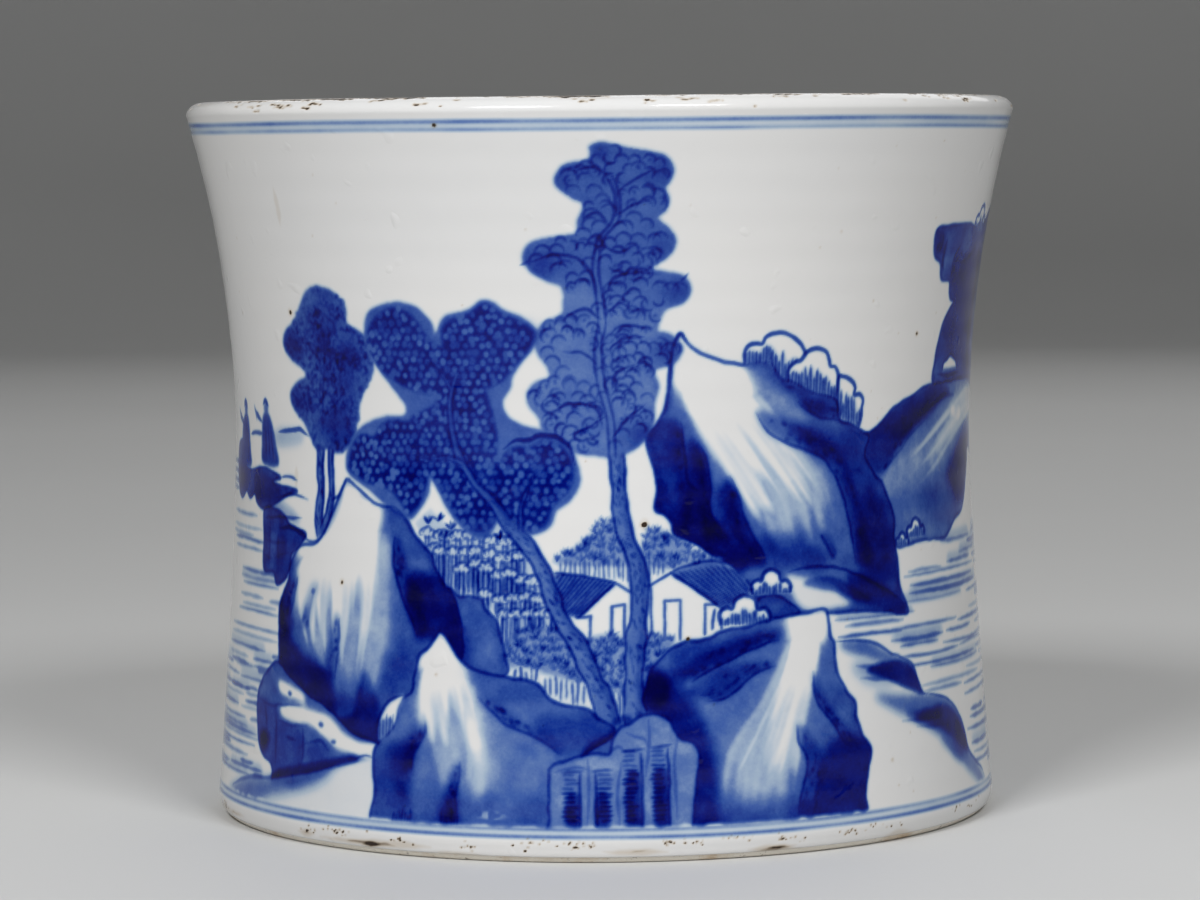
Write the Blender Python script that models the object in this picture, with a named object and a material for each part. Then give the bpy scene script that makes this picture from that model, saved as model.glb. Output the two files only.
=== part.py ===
"""Brush holder pot: a waisted porcelain barrel that writing brushes stand in.

A thrown wall is luted round a turned base disc, and three coats of glaze cover the clay: one outside and over
the lip, one inside, and one in the shallow recess under the base. Every piece is a solid of revolution about
+Z. The origin is the centre of the foot, on the surface that the pot stands on, and the painted front faces
-Y. Lengths are in metres.
"""

import math

import bmesh
import bpy

# Driving dimensions of the finished, glazed pot.
HEIGHT = 0.1588
LIP_RADIUS = 0.0925
WAIST_RADIUS = 0.0825
FOOT_RADIUS = 0.0878
WAIST_HEIGHT = 0.0840
WALL_THICKNESS = 0.0075
FLOOR_HEIGHT = 0.0110
CORNER_RADIUS = 0.0060

# How quickly the wall opens out above and below the waist: powers of the distance from the waist.
LIP_FLARE = 2.0
FOOT_FLARE = 1.35

# The lip's crown is half an ellipse as wide as the wall, and the foot's edge is a quarter ellipse.
CROWN_RISE = 0.0030
FOOT_EDGE_INSET = 0.0027
FOOT_EDGE_RISE = 0.0046

# Each coat of glaze, the space that keeps it clear of the clay, and how far round the foot's edge it reaches.
COAT = 0.0004
GAP = 0.0003
CLAY_INSET = COAT + GAP
GLAZE_END_ANGLE = math.radians(45)

# The shallow recess under the base, inside the broad foot ring.
RECESS_RADIUS = 0.0590
RECESS_SLOPE = 0.0012
RECESS_DEPTH = 0.0025

# How finely the round shapes are cut.
SEGMENTS = 64
WALL_STEPS = 8
CROWN_STEPS = 6
FOOT_EDGE_STEPS = 4
CORNER_STEPS = 4
SHARP_ANGLE = math.radians(40)
MERGE_DISTANCE = 1e-6

# The heights where the wall proper meets the lip's crown and the corner inside the base.
LIP_BASE = HEIGHT - CROWN_RISE
CORNER_HEIGHT = FLOOR_HEIGHT + CORNER_RADIUS

# Material looks: colour, roughness.
CLAY_LOOK = ((0.80, 0.75, 0.67, 1.0), 0.75)
GLAZE_LOOK = ((0.84, 0.86, 0.87, 1.0), 0.12)


def evenly(start, end, steps):
    """steps + 1 numbers from start to end."""
    return [start + (end - start) * i / steps for i in range(steps + 1)]


def outer_radius(height):
    """The finished outside radius at a height between the foot's edge and the lip's crown."""
    if height >= WAIST_HEIGHT:
        share = (height - WAIST_HEIGHT) / (LIP_BASE - WAIST_HEIGHT)
        return WAIST_RADIUS + (LIP_RADIUS - WAIST_RADIUS) * share**LIP_FLARE
    share = (WAIST_HEIGHT - height) / WAIST_HEIGHT
    return WAIST_RADIUS + (FOOT_RADIUS - WAIST_RADIUS) * share**FOOT_FLARE


def inner_radius(height):
    """The finished inside radius at a height between the corner and the lip's crown."""
    return outer_radius(height) - WALL_THICKNESS


CORNER_CENTRE_RADIUS = inner_radius(CORNER_HEIGHT) - CORNER_RADIUS


def crown(inset):
    """(radius, height) points over the lip, from its inner side to its outer side."""
    middle = LIP_RADIUS - WALL_THICKNESS / 2
    half_width = WALL_THICKNESS / 2 - inset
    rise = CROWN_RISE - inset
    angles = evenly(math.pi, 0, CROWN_STEPS)
    return [(middle + half_width * math.cos(a), LIP_BASE + rise * math.sin(a)) for a in angles]


def outside(inset):
    """Points down the outside of the wall, from just under the crown to just above the foot's edge."""
    heights = evenly(LIP_BASE, FOOT_EDGE_RISE, WALL_STEPS)[1:-1]
    return [(outer_radius(z) - inset, z) for z in heights]


def foot_edge(inset, end_angle):
    """Points round the foot's edge, from the foot of the wall to end_angle, where 90 degrees is the ground."""
    start = outer_radius(FOOT_EDGE_RISE) - inset
    steps = round(FOOT_EDGE_STEPS * end_angle / math.radians(90))
    angles = evenly(0, end_angle, steps)
    return [(start - FOOT_EDGE_INSET * (1 - math.cos(a)), FOOT_EDGE_RISE * (1 - math.sin(a))) for a in angles]


def corner(inset):
    """Points from the floor up round the inside corner to the wall, inset into the clay."""
    radius = CORNER_RADIUS + inset
    angles = evenly(math.radians(90), 0, CORNER_STEPS)
    return [(CORNER_CENTRE_RADIUS + radius * math.cos(a), CORNER_HEIGHT - radius * math.sin(a)) for a in angles]


def inside(inset, top):
    """Points up the inside of the wall, from just above the corner to top, inset into the clay."""
    heights = evenly(CORNER_HEIGHT, top, WALL_STEPS)[1:]
    return [(inner_radius(z) + inset, z) for z in heights]


def material(name, look):
    """A Principled material from a colour and a roughness."""
    colour, roughness = look
    made = bpy.data.materials.new(name)
    made.use_nodes = True
    shader = made.node_tree.nodes["Principled BSDF"]
    shader.inputs["Base Color"].default_value = colour
    shader.inputs["Roughness"].default_value = roughness
    shader.inputs["Metallic"].default_value = 0.0
    made.diffuse_color = colour
    return made


def turned(name, profile, look):
    """A solid of revolution about +Z. A profile with both ends on the axis stays open, and any other closes."""
    mesh = bpy.data.meshes.new(name)
    shape = bmesh.new()
    verts = [shape.verts.new((radius, 0, height)) for radius, height in profile]
    edges = [shape.edges.new(pair) for pair in zip(verts, verts[1:])]
    if profile[0][0] > 0:
        edges.append(shape.edges.new((verts[-1], verts[0])))
    bmesh.ops.spin(shape, geom=verts + edges, cent=(0, 0, 0), axis=(0, 0, 1), dvec=(0, 0, 0),
                   angle=math.tau, steps=SEGMENTS, use_merge=True, use_duplicate=False)
    bmesh.ops.remove_doubles(shape, verts=shape.verts, dist=MERGE_DISTANCE)
    bmesh.ops.recalc_face_normals(shape, faces=shape.faces)
    shape.to_mesh(mesh)
    shape.free()
    mesh.shade_smooth()
    mesh.set_sharp_from_angle(angle=SHARP_ANGLE)
    mesh.materials.append(material(name, look))
    made = bpy.data.objects.new(name, mesh)
    bpy.context.scene.collection.objects.link(made)
    return made


def make_wall():
    """The thrown wall of clay, down to the outer part of the foot ring."""
    end_angle = math.radians(90)
    profile = crown(CLAY_INSET) + outside(CLAY_INSET) + foot_edge(CLAY_INSET, end_angle)
    profile += [(CORNER_CENTRE_RADIUS, 0.0)]
    profile += corner(CLAY_INSET) + inside(CLAY_INSET, LIP_BASE)[:-1]
    return turned("wall", profile, CLAY_LOOK)


def make_base_disc():
    """The turned disc luted into the wall, with the inner part of the foot ring and the recess under it."""
    edge = CORNER_CENTRE_RADIUS - GAP
    top = FLOOR_HEIGHT - CLAY_INSET
    profile = [(0.0, top), (edge, top), (edge, 0.0), (RECESS_RADIUS, 0.0)]
    profile += [(RECESS_RADIUS - RECESS_SLOPE, RECESS_DEPTH), (0.0, RECESS_DEPTH)]
    return turned("base_disc", profile, CLAY_LOOK)


def make_outer_glaze():
    """The coat over the lip and down the outside, which ends part of the way round the foot's edge."""
    finished = crown(0) + outside(0) + foot_edge(0, GLAZE_END_ANGLE)
    clay_side = crown(COAT) + outside(COAT) + foot_edge(COAT, GLAZE_END_ANGLE)
    return turned("outer_glaze", finished + clay_side[::-1], GLAZE_LOOK)


def make_inner_glaze():
    """The coat over the floor and up the inside, which ends just under the coat that comes over the lip."""
    top = LIP_BASE - GAP
    finished = [(0.0, FLOOR_HEIGHT)] + corner(0) + inside(0, top)
    clay_side = [(0.0, FLOOR_HEIGHT - COAT)] + corner(COAT) + inside(COAT, top)
    return turned("inner_glaze", finished + clay_side[::-1], GLAZE_LOOK)


def make_base_glaze():
    """The round coat in the recess under the base."""
    edge = RECESS_RADIUS - RECESS_SLOPE - GAP
    top = RECESS_DEPTH - GAP
    profile = [(0.0, top), (edge, top), (edge, top - COAT), (0.0, top - COAT)]
    return turned("base_glaze", profile, GLAZE_LOOK)


def main():
    for old in list(bpy.data.objects):
        bpy.data.objects.remove(old, do_unlink=True)
    make_wall()
    make_base_disc()
    make_outer_glaze()
    make_inner_glaze()
    make_base_glaze()


main()
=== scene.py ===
"""Looks of the brush holder pot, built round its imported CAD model.

The outside is one fine skin of glaze in upright panels. The landscape on it is painted here, stroke by
stroke, on a canvas that is the skin unrolled, and each point of the skin then holds how much cobalt lies
under it. The inside, the base and the clay of the foot are turned pieces of their own. Lengths are in
millimetres until a mesh is made.
"""

import math

import bpy
import numpy as np
from mathutils import Matrix, Vector


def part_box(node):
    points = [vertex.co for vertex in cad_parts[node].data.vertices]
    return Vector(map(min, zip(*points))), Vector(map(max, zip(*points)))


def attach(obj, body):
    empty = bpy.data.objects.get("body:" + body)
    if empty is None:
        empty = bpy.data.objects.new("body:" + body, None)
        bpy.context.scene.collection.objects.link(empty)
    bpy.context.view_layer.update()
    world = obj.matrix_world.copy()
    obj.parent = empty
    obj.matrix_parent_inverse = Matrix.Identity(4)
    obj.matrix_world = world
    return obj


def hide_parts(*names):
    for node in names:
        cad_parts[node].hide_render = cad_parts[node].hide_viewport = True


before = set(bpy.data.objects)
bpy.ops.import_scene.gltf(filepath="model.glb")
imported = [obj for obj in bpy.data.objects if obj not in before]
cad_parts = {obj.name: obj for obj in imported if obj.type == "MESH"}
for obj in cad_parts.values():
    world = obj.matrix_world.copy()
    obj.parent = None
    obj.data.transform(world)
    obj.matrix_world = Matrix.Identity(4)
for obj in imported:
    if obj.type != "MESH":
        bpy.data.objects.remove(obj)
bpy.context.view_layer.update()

# ----------------------------------------------------------------------------------------------------------
# The canvas: the outside of the pot unrolled. s runs round it from the front and h up it, in millimetres.
# Over the lip's crown and round the foot's edge, h goes on along the surface.
# ----------------------------------------------------------------------------------------------------------

ROLL_RADIUS = 84.0
COLUMNS = 2112
SPAN = math.tau * ROLL_RADIUS
PITCH = SPAN / COLUMNS
SPARE = 120
CANVAS_LOW = -4.0
CANVAS_HIGH = 172.0
SOFT_EDGE = 0.34
LINE_WIDTH = 0.62
STEP = 0.3
CHUNK = 20

rng = np.random.default_rng(11)


class Canvas:
    """How much of one thing, such as cobalt, lies at each point. Spare columns at both ends overlap."""

    def __init__(self):
        self.s = (np.arange(-SPARE, COLUMNS + SPARE) - COLUMNS / 2) * PITCH
        self.h = np.arange(CANVAS_LOW, CANVAS_HIGH, PITCH)
        self.amount = np.zeros((len(self.h), len(self.s)), np.float32)

    def window(self, points, margin):
        """The index of the part of the canvas round some points, and its grids of s and h."""
        low = points.min(axis=0) - margin
        high = points.max(axis=0) + margin
        columns = slice(*np.searchsorted(self.s, (low[0], high[0])))
        rows = slice(*np.searchsorted(self.h, (low[1], high[1])))
        s, h = np.meshgrid(self.s[columns], self.h[rows])
        return (rows, columns), s, h

    def folded(self):
        """The canvas once round, with its spare columns added where they overlap."""
        once = self.amount[:, SPARE:-SPARE].copy()
        once[:, :SPARE] += self.amount[:, -SPARE:]
        once[:, -SPARE:] += self.amount[:, :SPARE]
        return once

    def read(self, s, h):
        """The amount at each place, between the canvas's points."""
        once = self.folded()
        x = (s / PITCH + COLUMNS / 2) % COLUMNS
        y = np.clip((h - CANVAS_LOW) / PITCH, 0, len(self.h) - 1.001)
        column = np.floor(x).astype(int) % COLUMNS
        row = np.floor(y).astype(int)
        right = (column + 1) % COLUMNS
        fx = x - np.floor(x)
        fy = y - row
        lower = once[row, column] * (1 - fx) + once[row, right] * fx
        upper = once[row + 1, column] * (1 - fx) + once[row + 1, right] * fx
        return lower * (1 - fy) + upper * fy


def smooth(value, low=0.0, high=1.0):
    """0 below low, 1 above high, and an even curve between."""
    share = np.clip((value - low) / (high - low), 0, 1)
    return share * share * (3 - 2 * share)


def grain(x, y, seed):
    """Smooth noise from 0 to 1, with one bump to each unit of x and y."""
    lattice = np.random.default_rng(seed).random((64, 64))
    column = np.floor(x).astype(int)
    row = np.floor(y).astype(int)
    fx = smooth(x - column)
    fy = smooth(y - row)
    near = lattice[row % 64, column % 64] * (1 - fx) + lattice[row % 64, (column + 1) % 64] * fx
    far = lattice[(row + 1) % 64, column % 64] * (1 - fx) + lattice[(row + 1) % 64, (column + 1) % 64] * fx
    return near * (1 - fy) + far * fy


def curve(points, closed=False, spacing=STEP):
    """Points an even spacing apart on a smooth curve through the given ones."""
    p = np.asarray(points, float)
    if closed:
        p = np.vstack([p[-1:], p, p[:2]])
    else:
        p = np.vstack([2 * p[0] - p[1], p, 2 * p[-1] - p[-2]])
    a, b, c, d = p[:-3], p[1:-2], p[2:-1], p[3:]
    t = np.linspace(0, 1, 12, endpoint=False)[:, None, None]
    bends = 0.5 * (2 * b + (c - a) * t + (2 * a - 5 * b + 4 * c - d) * t**2 + (3 * b - a - 3 * c + d) * t**3)
    path = np.vstack([bends.transpose(1, 0, 2).reshape(-1, 2), p[-2:-1]])
    run = np.concatenate([[0], np.cumsum(np.hypot(*np.diff(path, axis=0).T))])
    steps = max(2, int(run[-1] / spacing) + 1)
    at = np.linspace(0, run[-1], steps)
    return np.column_stack([np.interp(at, run, path[:, 0]), np.interp(at, run, path[:, 1])])


def shaken(path, amount):
    """The path with the small wavering of a hand."""
    count = len(path)
    knots = max(3, int(count * STEP / 3) + 2)
    push = rng.normal(0, amount, (knots, 2))
    at = np.linspace(0, knots - 1, count)
    shake = np.column_stack([np.interp(at, np.arange(knots), push[:, i]) for i in (0, 1)])
    return path + shake


def spread(cover, radius):
    """The cover blurred by about radius, in millimetres, with three box blurs each way."""
    reach = max(1, round(radius / PITCH / 1.7))
    for axis in (0, 1) * 3:
        pad = [(0, 0), (0, 0)]
        pad[axis] = (reach + 1, reach)
        total = np.cumsum(np.pad(cover, pad, mode="edge"), axis=axis)
        ahead, behind = [slice(None)] * 2, [slice(None)] * 2
        ahead[axis] = slice(2 * reach + 1, None)
        behind[axis] = slice(None, -2 * reach - 1)
        cover = (total[tuple(ahead)] - total[tuple(behind)]) / (2 * reach + 1)
    return cover


def enclosed(s, h, outline):
    """1 inside a closed outline and 0 outside, over a window's grids."""
    line_s, line_h = s[0], h[:, 0]
    crossings = np.zeros((len(line_h), len(line_s) + 1), int)
    ends = np.roll(outline, -1, axis=0)
    for (s0, h0), (s1, h1) in zip(outline, ends):
        if h0 == h1:
            continue
        rows = np.arange(*np.searchsorted(line_h, sorted((h0, h1))))
        cross = s0 + (line_h[rows] - h0) * (s1 - s0) / (h1 - h0)
        np.add.at(crossings, (rows, np.searchsorted(line_s, cross)), 1)
    return (np.cumsum(crossings, axis=1)[:, :-1] % 2).astype(np.float32)


def resampled(path, spacing=STEP):
    """The same path with its points an even spacing apart."""
    run = np.concatenate([[0], np.cumsum(np.hypot(*np.diff(path, axis=0).T))])
    at = np.linspace(0, run[-1], max(2, int(run[-1] / spacing) + 1))
    return np.column_stack([np.interp(at, run, path[:, 0]), np.interp(at, run, path[:, 1])])


def stroke(canvas, points, width, amount, taper=0.35, closed=False, shake=0.08, path=None, soft=SOFT_EDGE):
    """One pull of the brush along a smooth curve, thinner towards its ends and with an uneven pressure. soft
    is how wide its edge is. A ready path is followed as it is, in place of a curve through points."""
    spacing = 0.2 if soft < 0.8 else 0.4
    path = curve(points, closed, spacing) if path is None else resampled(np.asarray(path, float), spacing)
    path = shaken(path, shake)
    count = len(path)
    along = np.linspace(0, 1, count)
    press = 1 if closed else smooth(np.minimum(along, 1 - along), -0.06, taper + 0.01)
    knots = rng.uniform(0.75, 1.2, max(3, int(count * spacing / 2.5) + 2))
    half = width / 2 * press * np.interp(along * (len(knots) - 1), np.arange(len(knots)), knots)
    index, s, h = canvas.window(path, width + 2 * soft)
    cover = np.zeros(s.shape, np.float32)
    if cover.size == 0:
        return
    reach = width / 2 * 1.25 + soft
    for first in range(0, count, CHUNK):
        part = path[first:first + CHUNK + 1]
        radius = half[first:first + CHUNK + 1]
        columns = slice(*np.searchsorted(s[0], (part[:, 0].min() - reach, part[:, 0].max() + reach)))
        rows = slice(*np.searchsorted(h[:, 0], (part[:, 1].min() - reach, part[:, 1].max() + reach)))
        ds = s[rows, columns, None] - part[:, 0]
        dh = h[rows, columns, None] - part[:, 1]
        cut = np.clip(0.5 - (np.hypot(ds, dh) - radius) / soft, 0, 1)
        cover[rows, columns] = np.maximum(cover[rows, columns], cut.max(axis=2, initial=0))
    canvas.amount[index] += amount * cover


def fan(canvas, left, right, streaks, amount, start=0.2, finish=1.0, seed=1):
    """White that falls between two guides in narrow streaks, each of which runs out at its own height."""
    steps = np.linspace(0, 1, 300)
    sides = []
    for side in (left, right):
        path = curve(side)
        sides.append(path[(steps * (len(path) - 1)).astype(int)][:, None])
    across = np.linspace(0, 1, 500)[None, :]
    down = steps[:, None]
    place = sides[0] * (1 - across[..., None]) + sides[1] * across[..., None]
    wave = across * streaks + 0.6 * grain(down * 2, across * 0, seed + 9)
    fine = grain(wave * 2.7, down * 1.5, seed + 1)
    end = start + (finish - start) * (0.6 * grain(wave, down * 0, seed) + 0.4 * fine)
    bright = 1 - smooth(down, end - 0.34, end + 0.05)
    pale = np.clip(1.05 - down / finish, 0, 1) ** 1.3 * (0.8 - 0.5 * fine)
    value = np.maximum(bright * (1 - 0.3 * smooth(down, 0.15, 0.5) * grain(wave * 1.9, down * 2, seed + 2)),
                       pale)
    value = amount * value * smooth(across, 0, 0.1) * smooth(1 - across, 0, 0.16) * smooth(down, -0.05, 0.12)
    value = value * (1 - smooth(down, 0.8, 1.0))
    index, s, h = canvas.window(place.reshape(-1, 2), 1.5)
    columns = np.round((place[..., 0] - s[0, 0]) / PITCH).astype(int)
    rows = np.round((place[..., 1] - h[0, 0]) / PITCH).astype(int)
    total, count = np.zeros(s.shape), np.zeros(s.shape)
    np.add.at(total, (rows, columns), value)
    np.add.at(count, (rows, columns), 1)
    total, count = spread(total, 0.16), spread(count, 0.16)
    canvas.amount[index] = np.maximum(canvas.amount[index], total / np.maximum(count, 0.6))


def wash(canvas, outline, amount, feather=0.0, within=None, clear=0.0, closed_curve=True):
    """An even tone inside an outline. feather softens its edge, within keeps it inside another outline, and
    clear is the share of what lay there that it hides."""
    edge = curve(outline, closed=True) if closed_curve else np.asarray(outline, float)
    index, s, h = canvas.window(edge, 1 + 2 * feather)
    cover = enclosed(s, h, edge)
    cover = spread(cover, feather if feather else 0.2)
    if within is not None:
        cover = cover * enclosed(s, h, within)
    uneven = 0.86 + 0.28 * grain(s / 3.1, h / 3.1, 5)
    canvas.amount[index] = canvas.amount[index] * (1 - clear * cover) + amount * uneven * cover


def beside(s, h, points):
    """The distance to a line, and which side of it each point lies on: positive to the left of its run."""
    line = curve(points, spacing=0.8)
    run = np.gradient(line, axis=0)
    ds = s[..., None] - line[:, 0]
    dh = h[..., None] - line[:, 1]
    away = np.hypot(ds, dh)
    near = away.argmin(axis=2)
    pick = np.take_along_axis
    across, up, gap = [pick(grid, near[..., None], 2)[..., 0] for grid in (ds, dh, away)]
    return gap, np.sign(run[near, 0] * up - run[near, 1] * across)


def fold(canvas, points, depth, amount, side, line=0.45, width=0.7, within=None):
    """A crease: a dark line with a wash that fades away from one side of it."""
    path = curve(points)
    index, s, h = canvas.window(path, depth * 1.6)
    away, hand = beside(s, h, points)
    rough = 0.75 + 0.5 * grain(s / 1.6, h / 1.6, 9)
    cover = (hand == side) * np.exp(-((away / (depth * rough)) ** 2))
    ends = np.minimum(np.hypot(s - path[0, 0], h - path[0, 1]), np.hypot(s - path[-1, 0], h - path[-1, 1]))
    cover = spread(cover * smooth(ends, 0, depth), 0.3)
    if within is not None:
        cover = cover * enclosed(s, h, within)
    canvas.amount[index] += amount * cover
    stroke(canvas, points, width, line, taper=0.25, shake=0.12)


# ----------------------------------------------------------------------------------------------------------
# The painter's motifs. Tones are shares of the darkest cobalt.
# ----------------------------------------------------------------------------------------------------------


def rock(canvas, points, tone, bare=(), runs=(), shades=(), pooling=0.2, rim=2.2, outline=0.4, seed=1):
    """A rock over what is behind it: a mid wash, white left bare on its lit faces and dark hollows.

    bare: (outline, feather, amount) of each place where the white shows.
    runs: (left guide, right guide, streaks, amount, start, finish) of each fan of white streaks that falls.
    shades: (outline, feather, amount) of each darker patch.
    """
    edge = curve(points, closed=True)
    light = Canvas()
    for patch, feather, amount in bare:
        wash(light, patch, amount, feather)
    for number, run in enumerate(runs):
        fan(light, *run, seed=seed + 10 * number)
    index, s, h = canvas.window(edge, 2 * rim)
    mask = enclosed(s, h, edge)
    body = spread(mask, 0.2)
    lit = np.clip(light.amount[index], 0, 1)
    near_edge = np.clip(1 - spread(mask, rim), 0, 0.5) * 2
    uneven = 0.68 + 0.44 * grain(s / 4, h / 4, seed + 3) + 0.2 * grain(s / 1.1, h / 1.1, seed + 4)
    deposit = (tone * uneven + pooling * smooth(near_edge, 0.1, 1.0)) * (1 - lit)
    for patch, feather, amount in shades:
        cover = spread(enclosed(s, h, curve(patch, closed=True)), feather)
        deposit = deposit + amount * cover * (1 - 0.6 * lit) * (0.9 + 0.2 * grain(s / 1.5, h / 1.5, seed + 5))
    canvas.amount[index] = canvas.amount[index] * (1 - body) + deposit * body
    stroke(canvas, points, LINE_WIDTH, outline, closed=True, shake=0.1)
    return edge


def hollow(canvas, crisp, soft_side, amount, within=None, dabs=10, feather=0.8, line=0.42):
    """A long hollow in a rock between a crisp dark line and a softer side, with short dark dabs in it."""
    spine = curve(crisp, spacing=0.6)
    other = curve(soft_side, spacing=0.6)
    wash(canvas, np.vstack([spine, other[::-1]]), amount, feather=feather, within=within, closed_curve=False)
    stroke(canvas, crisp, LINE_WIDTH, line, taper=0.2, shake=0.1)
    for share in rng.uniform(0.06, 0.9, dabs):
        at = spine[int(share * (len(spine) - 1))]
        across = other[int(share * (len(other) - 1))] - at
        ahead = spine[min(int(share * len(spine)) + 3, len(spine) - 1)] - at
        start = at + across * rng.uniform(0.12, 0.8)
        stroke(canvas, [start, start + ahead * rng.uniform(0.3, 0.9)], rng.uniform(0.4, 0.9), 0.2, shake=0.05,
               soft=0.5)


def blob(s, h, half_s, half_h, bumps=0, depth=0.08, turn=0.0):
    """The closed outline of an oval lobe, with rounded bumps round it."""
    angles = np.linspace(0, math.tau, 40, endpoint=False)
    swell = 1 - depth + 2 * depth * np.abs(np.sin(bumps * angles / 2 + turn)) if bumps else 1.0
    return np.column_stack([s + half_s * swell * np.cos(angles), h + half_h * swell * np.sin(angles)])


def crowd(outline, spacing, jitter=0.22):
    """Points in an outline on a shaken triangular grid."""
    low, high = outline.min(axis=0), outline.max(axis=0)
    found = []
    for row, h in enumerate(np.arange(low[1], high[1], spacing * 0.87)):
        line = np.arange(low[0] + (row % 2) * spacing / 2, high[0], spacing)
        found += [(s + rng.normal(0, jitter * spacing), h + rng.normal(0, jitter * spacing)) for s in line]
    found = np.array(found)
    inside = [bool(hit) for hit in contains(outline, found)]
    return found[inside]


def contains(outline, spots):
    """For each spot, whether it lies in the closed outline."""
    ends = np.roll(outline, -1, axis=0)
    s, h = spots[:, :1], spots[:, 1:]
    spans = (outline[:, 1] > h) != (ends[:, 1] > h)
    rise = np.where(ends[:, 1] == outline[:, 1], 1e-9, ends[:, 1] - outline[:, 1])
    cross = outline[:, 0] + (h - outline[:, 1]) * (ends[:, 0] - outline[:, 0]) / rise
    return (spans & (s < cross)).sum(axis=1) % 2 == 1


def canopy(canvas, outline, tone, dark_tips=()):
    """The wash of a tree's leaves over what is behind: it pools at the edge and in the given dark tips."""
    edge = curve(outline, closed=True)
    index, s, h = canvas.window(edge, 4)
    inside = enclosed(s, h, edge)
    soft = spread(inside, 0.42)
    deposit = tone * (0.84 + 0.22 * grain(s / 3, h / 3, 21) + 0.1 * grain(s / 1.2, h / 1.2, 22))
    deposit = deposit + 0.12 * smooth(1 - spread(inside, 1.3), 0.1, 0.5)
    for tip_s, tip_h, radius, amount in dark_tips:
        deposit = deposit + amount * np.exp(-((s - tip_s) ** 2 + (h - tip_h) ** 2) / radius**2)
    canvas.amount[index] = canvas.amount[index] * (1 - soft) + deposit * soft
    return edge


def arc(canvas, s, h, radius, start, sweep, width, amount, soft=SOFT_EDGE):
    """Part of a circle, from start degrees anticlockwise from +s."""
    angles = np.radians(np.linspace(start, start + sweep, 12))
    path = np.column_stack([s + radius * np.cos(angles), h + radius * np.sin(angles)])
    stroke(canvas, None, width, amount, taper=0.3, shake=0.05, path=path, soft=soft)


def scallops(canvas, s, h, half_s, half_h, start, sweep, rows, amount=0.3, within=None):
    """A clump of leaves like fish scales: rows of small arches that follow an oval's edge inwards."""
    for row in range(rows):
        reach = 0.9 - 2.0 * row / min(half_s, half_h)
        if reach < 0.1:
            break
        a, b = half_s * reach, half_h * reach
        count = max(2, round(math.radians(sweep) * (a + b) / 2 / 2.2))
        for step in range(count):
            turn = math.radians(start + sweep * (step + 0.5 * (row % 2) + rng.uniform(0.15, 0.45)) / count)
            way = np.array([math.cos(turn), math.sin(turn)])
            at = np.array([s + a * way[0], h + b * way[1]]) + rng.normal(0, 0.2, 2)
            radius = rng.uniform(1.0, 1.5)
            if rng.random() < 0.08 or (within is not None and not contains(
                                           within, (at + way * radius)[None])[0]):
                continue
            lean = math.degrees(turn) * 0.7 + 27 + rng.uniform(-25, 25)
            arc(canvas, at[0], at[1], radius, lean - 95, 190, 0.55, amount * rng.uniform(0.7, 1.2))
            if rng.random() < 0.5:
                angle = math.radians(lean + rng.uniform(-50, 50))
                tip = at + radius * 0.5 * np.array([math.cos(angle), math.sin(angle)])
                stroke(canvas, [at - (tip - at) * 0.5, tip], 0.5, amount * 0.8, taper=0.4, shake=0.03,
                       soft=0.4)


def bright_leaves(canvas, mats, spacing, radius, full, pale):
    """Joined dark mats of leaves, up to the full tone, with a round pale centre to each leaf."""
    edges = [curve(mat, closed=True, spacing=0.8) for mat in mats]
    index, s, h = canvas.window(np.vstack(edges), 2)
    cover = np.zeros(s.shape, np.float32)
    for edge in edges:
        cover = np.maximum(cover, enclosed(s, h, edge))
    cover = spread(cover, 0.45)
    dark = full * (0.86 + 0.24 * grain(s / 5, h / 5, 17))
    under = canvas.amount[index]
    canvas.amount[index] = under * (1 - cover) + np.maximum(under, dark) * cover
    spots = crowd(np.vstack([s[0, [0, -1, -1, 0]], h[[0, 0, -1, -1], 0]]).T, spacing, jitter=0.14)
    inside = np.zeros(len(spots), bool)
    for edge in edges:
        inside |= contains(edge, spots)
    for spot_s, spot_h in spots[inside]:
        index, grid_s, grid_h = canvas.window(np.array([[spot_s, spot_h]]), radius + 0.6)
        size = radius * rng.uniform(0.8, 1.12)
        lump = 1 - smooth(np.hypot(grid_s - spot_s, (grid_h - spot_h) * rng.uniform(0.85, 1.15)),
                          size * 0.6, size + 0.12)
        under = canvas.amount[index]
        canvas.amount[index] = under * (1 - lump) + np.minimum(under, pale * rng.uniform(0.8, 1.3)) * lump


def trunk(canvas, points, base, tip, tone=0.26, outline=0.5, bark=1.0):
    """A trunk from its base to its tip: pale inside, dark along both sides, with slanting bark marks."""
    spine = curve(points)
    run = np.gradient(spine, axis=0)
    run /= np.hypot(*run.T)[:, None]
    across = np.column_stack([-run[:, 1], run[:, 0]])
    share = np.linspace(0, 1, len(spine))[:, None]
    length = len(spine) * STEP
    knobs = 1 + 0.1 * np.sin(share * length / 2.1) + 0.06 * np.sin(share * length / 0.9)
    half = (base + (tip - base) * share**0.8) / 2 * knobs
    left, right = spine + across * half, spine - across * half
    wash(canvas, np.vstack([left, right[::-1]]), tone, clear=1.0, closed_curve=False)
    wash(canvas, np.vstack([right, (right + across * half * 0.7)[::-1]]), tone * 0.6, feather=0.35,
         closed_curve=False)
    for side in (left, right):
        stroke(canvas, None, min(0.55, 0.2 + 0.2 * base), outline, taper=0.1, shake=0.1, path=side)
    for _ in range(int(length * bark)):
        at = int(rng.uniform(0.02, 0.98) * (len(spine) - 1))
        if half[at, 0] < 0.7:
            continue
        start = spine[at] + across[at] * half[at] * rng.uniform(-0.7, 0.4)
        slope = run[at] * rng.uniform(0.8, 1.8) + across[at] * rng.uniform(0.2, 0.7)
        stroke(canvas, [start, start + slope], 0.36, 0.28, shake=0.05)


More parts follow.
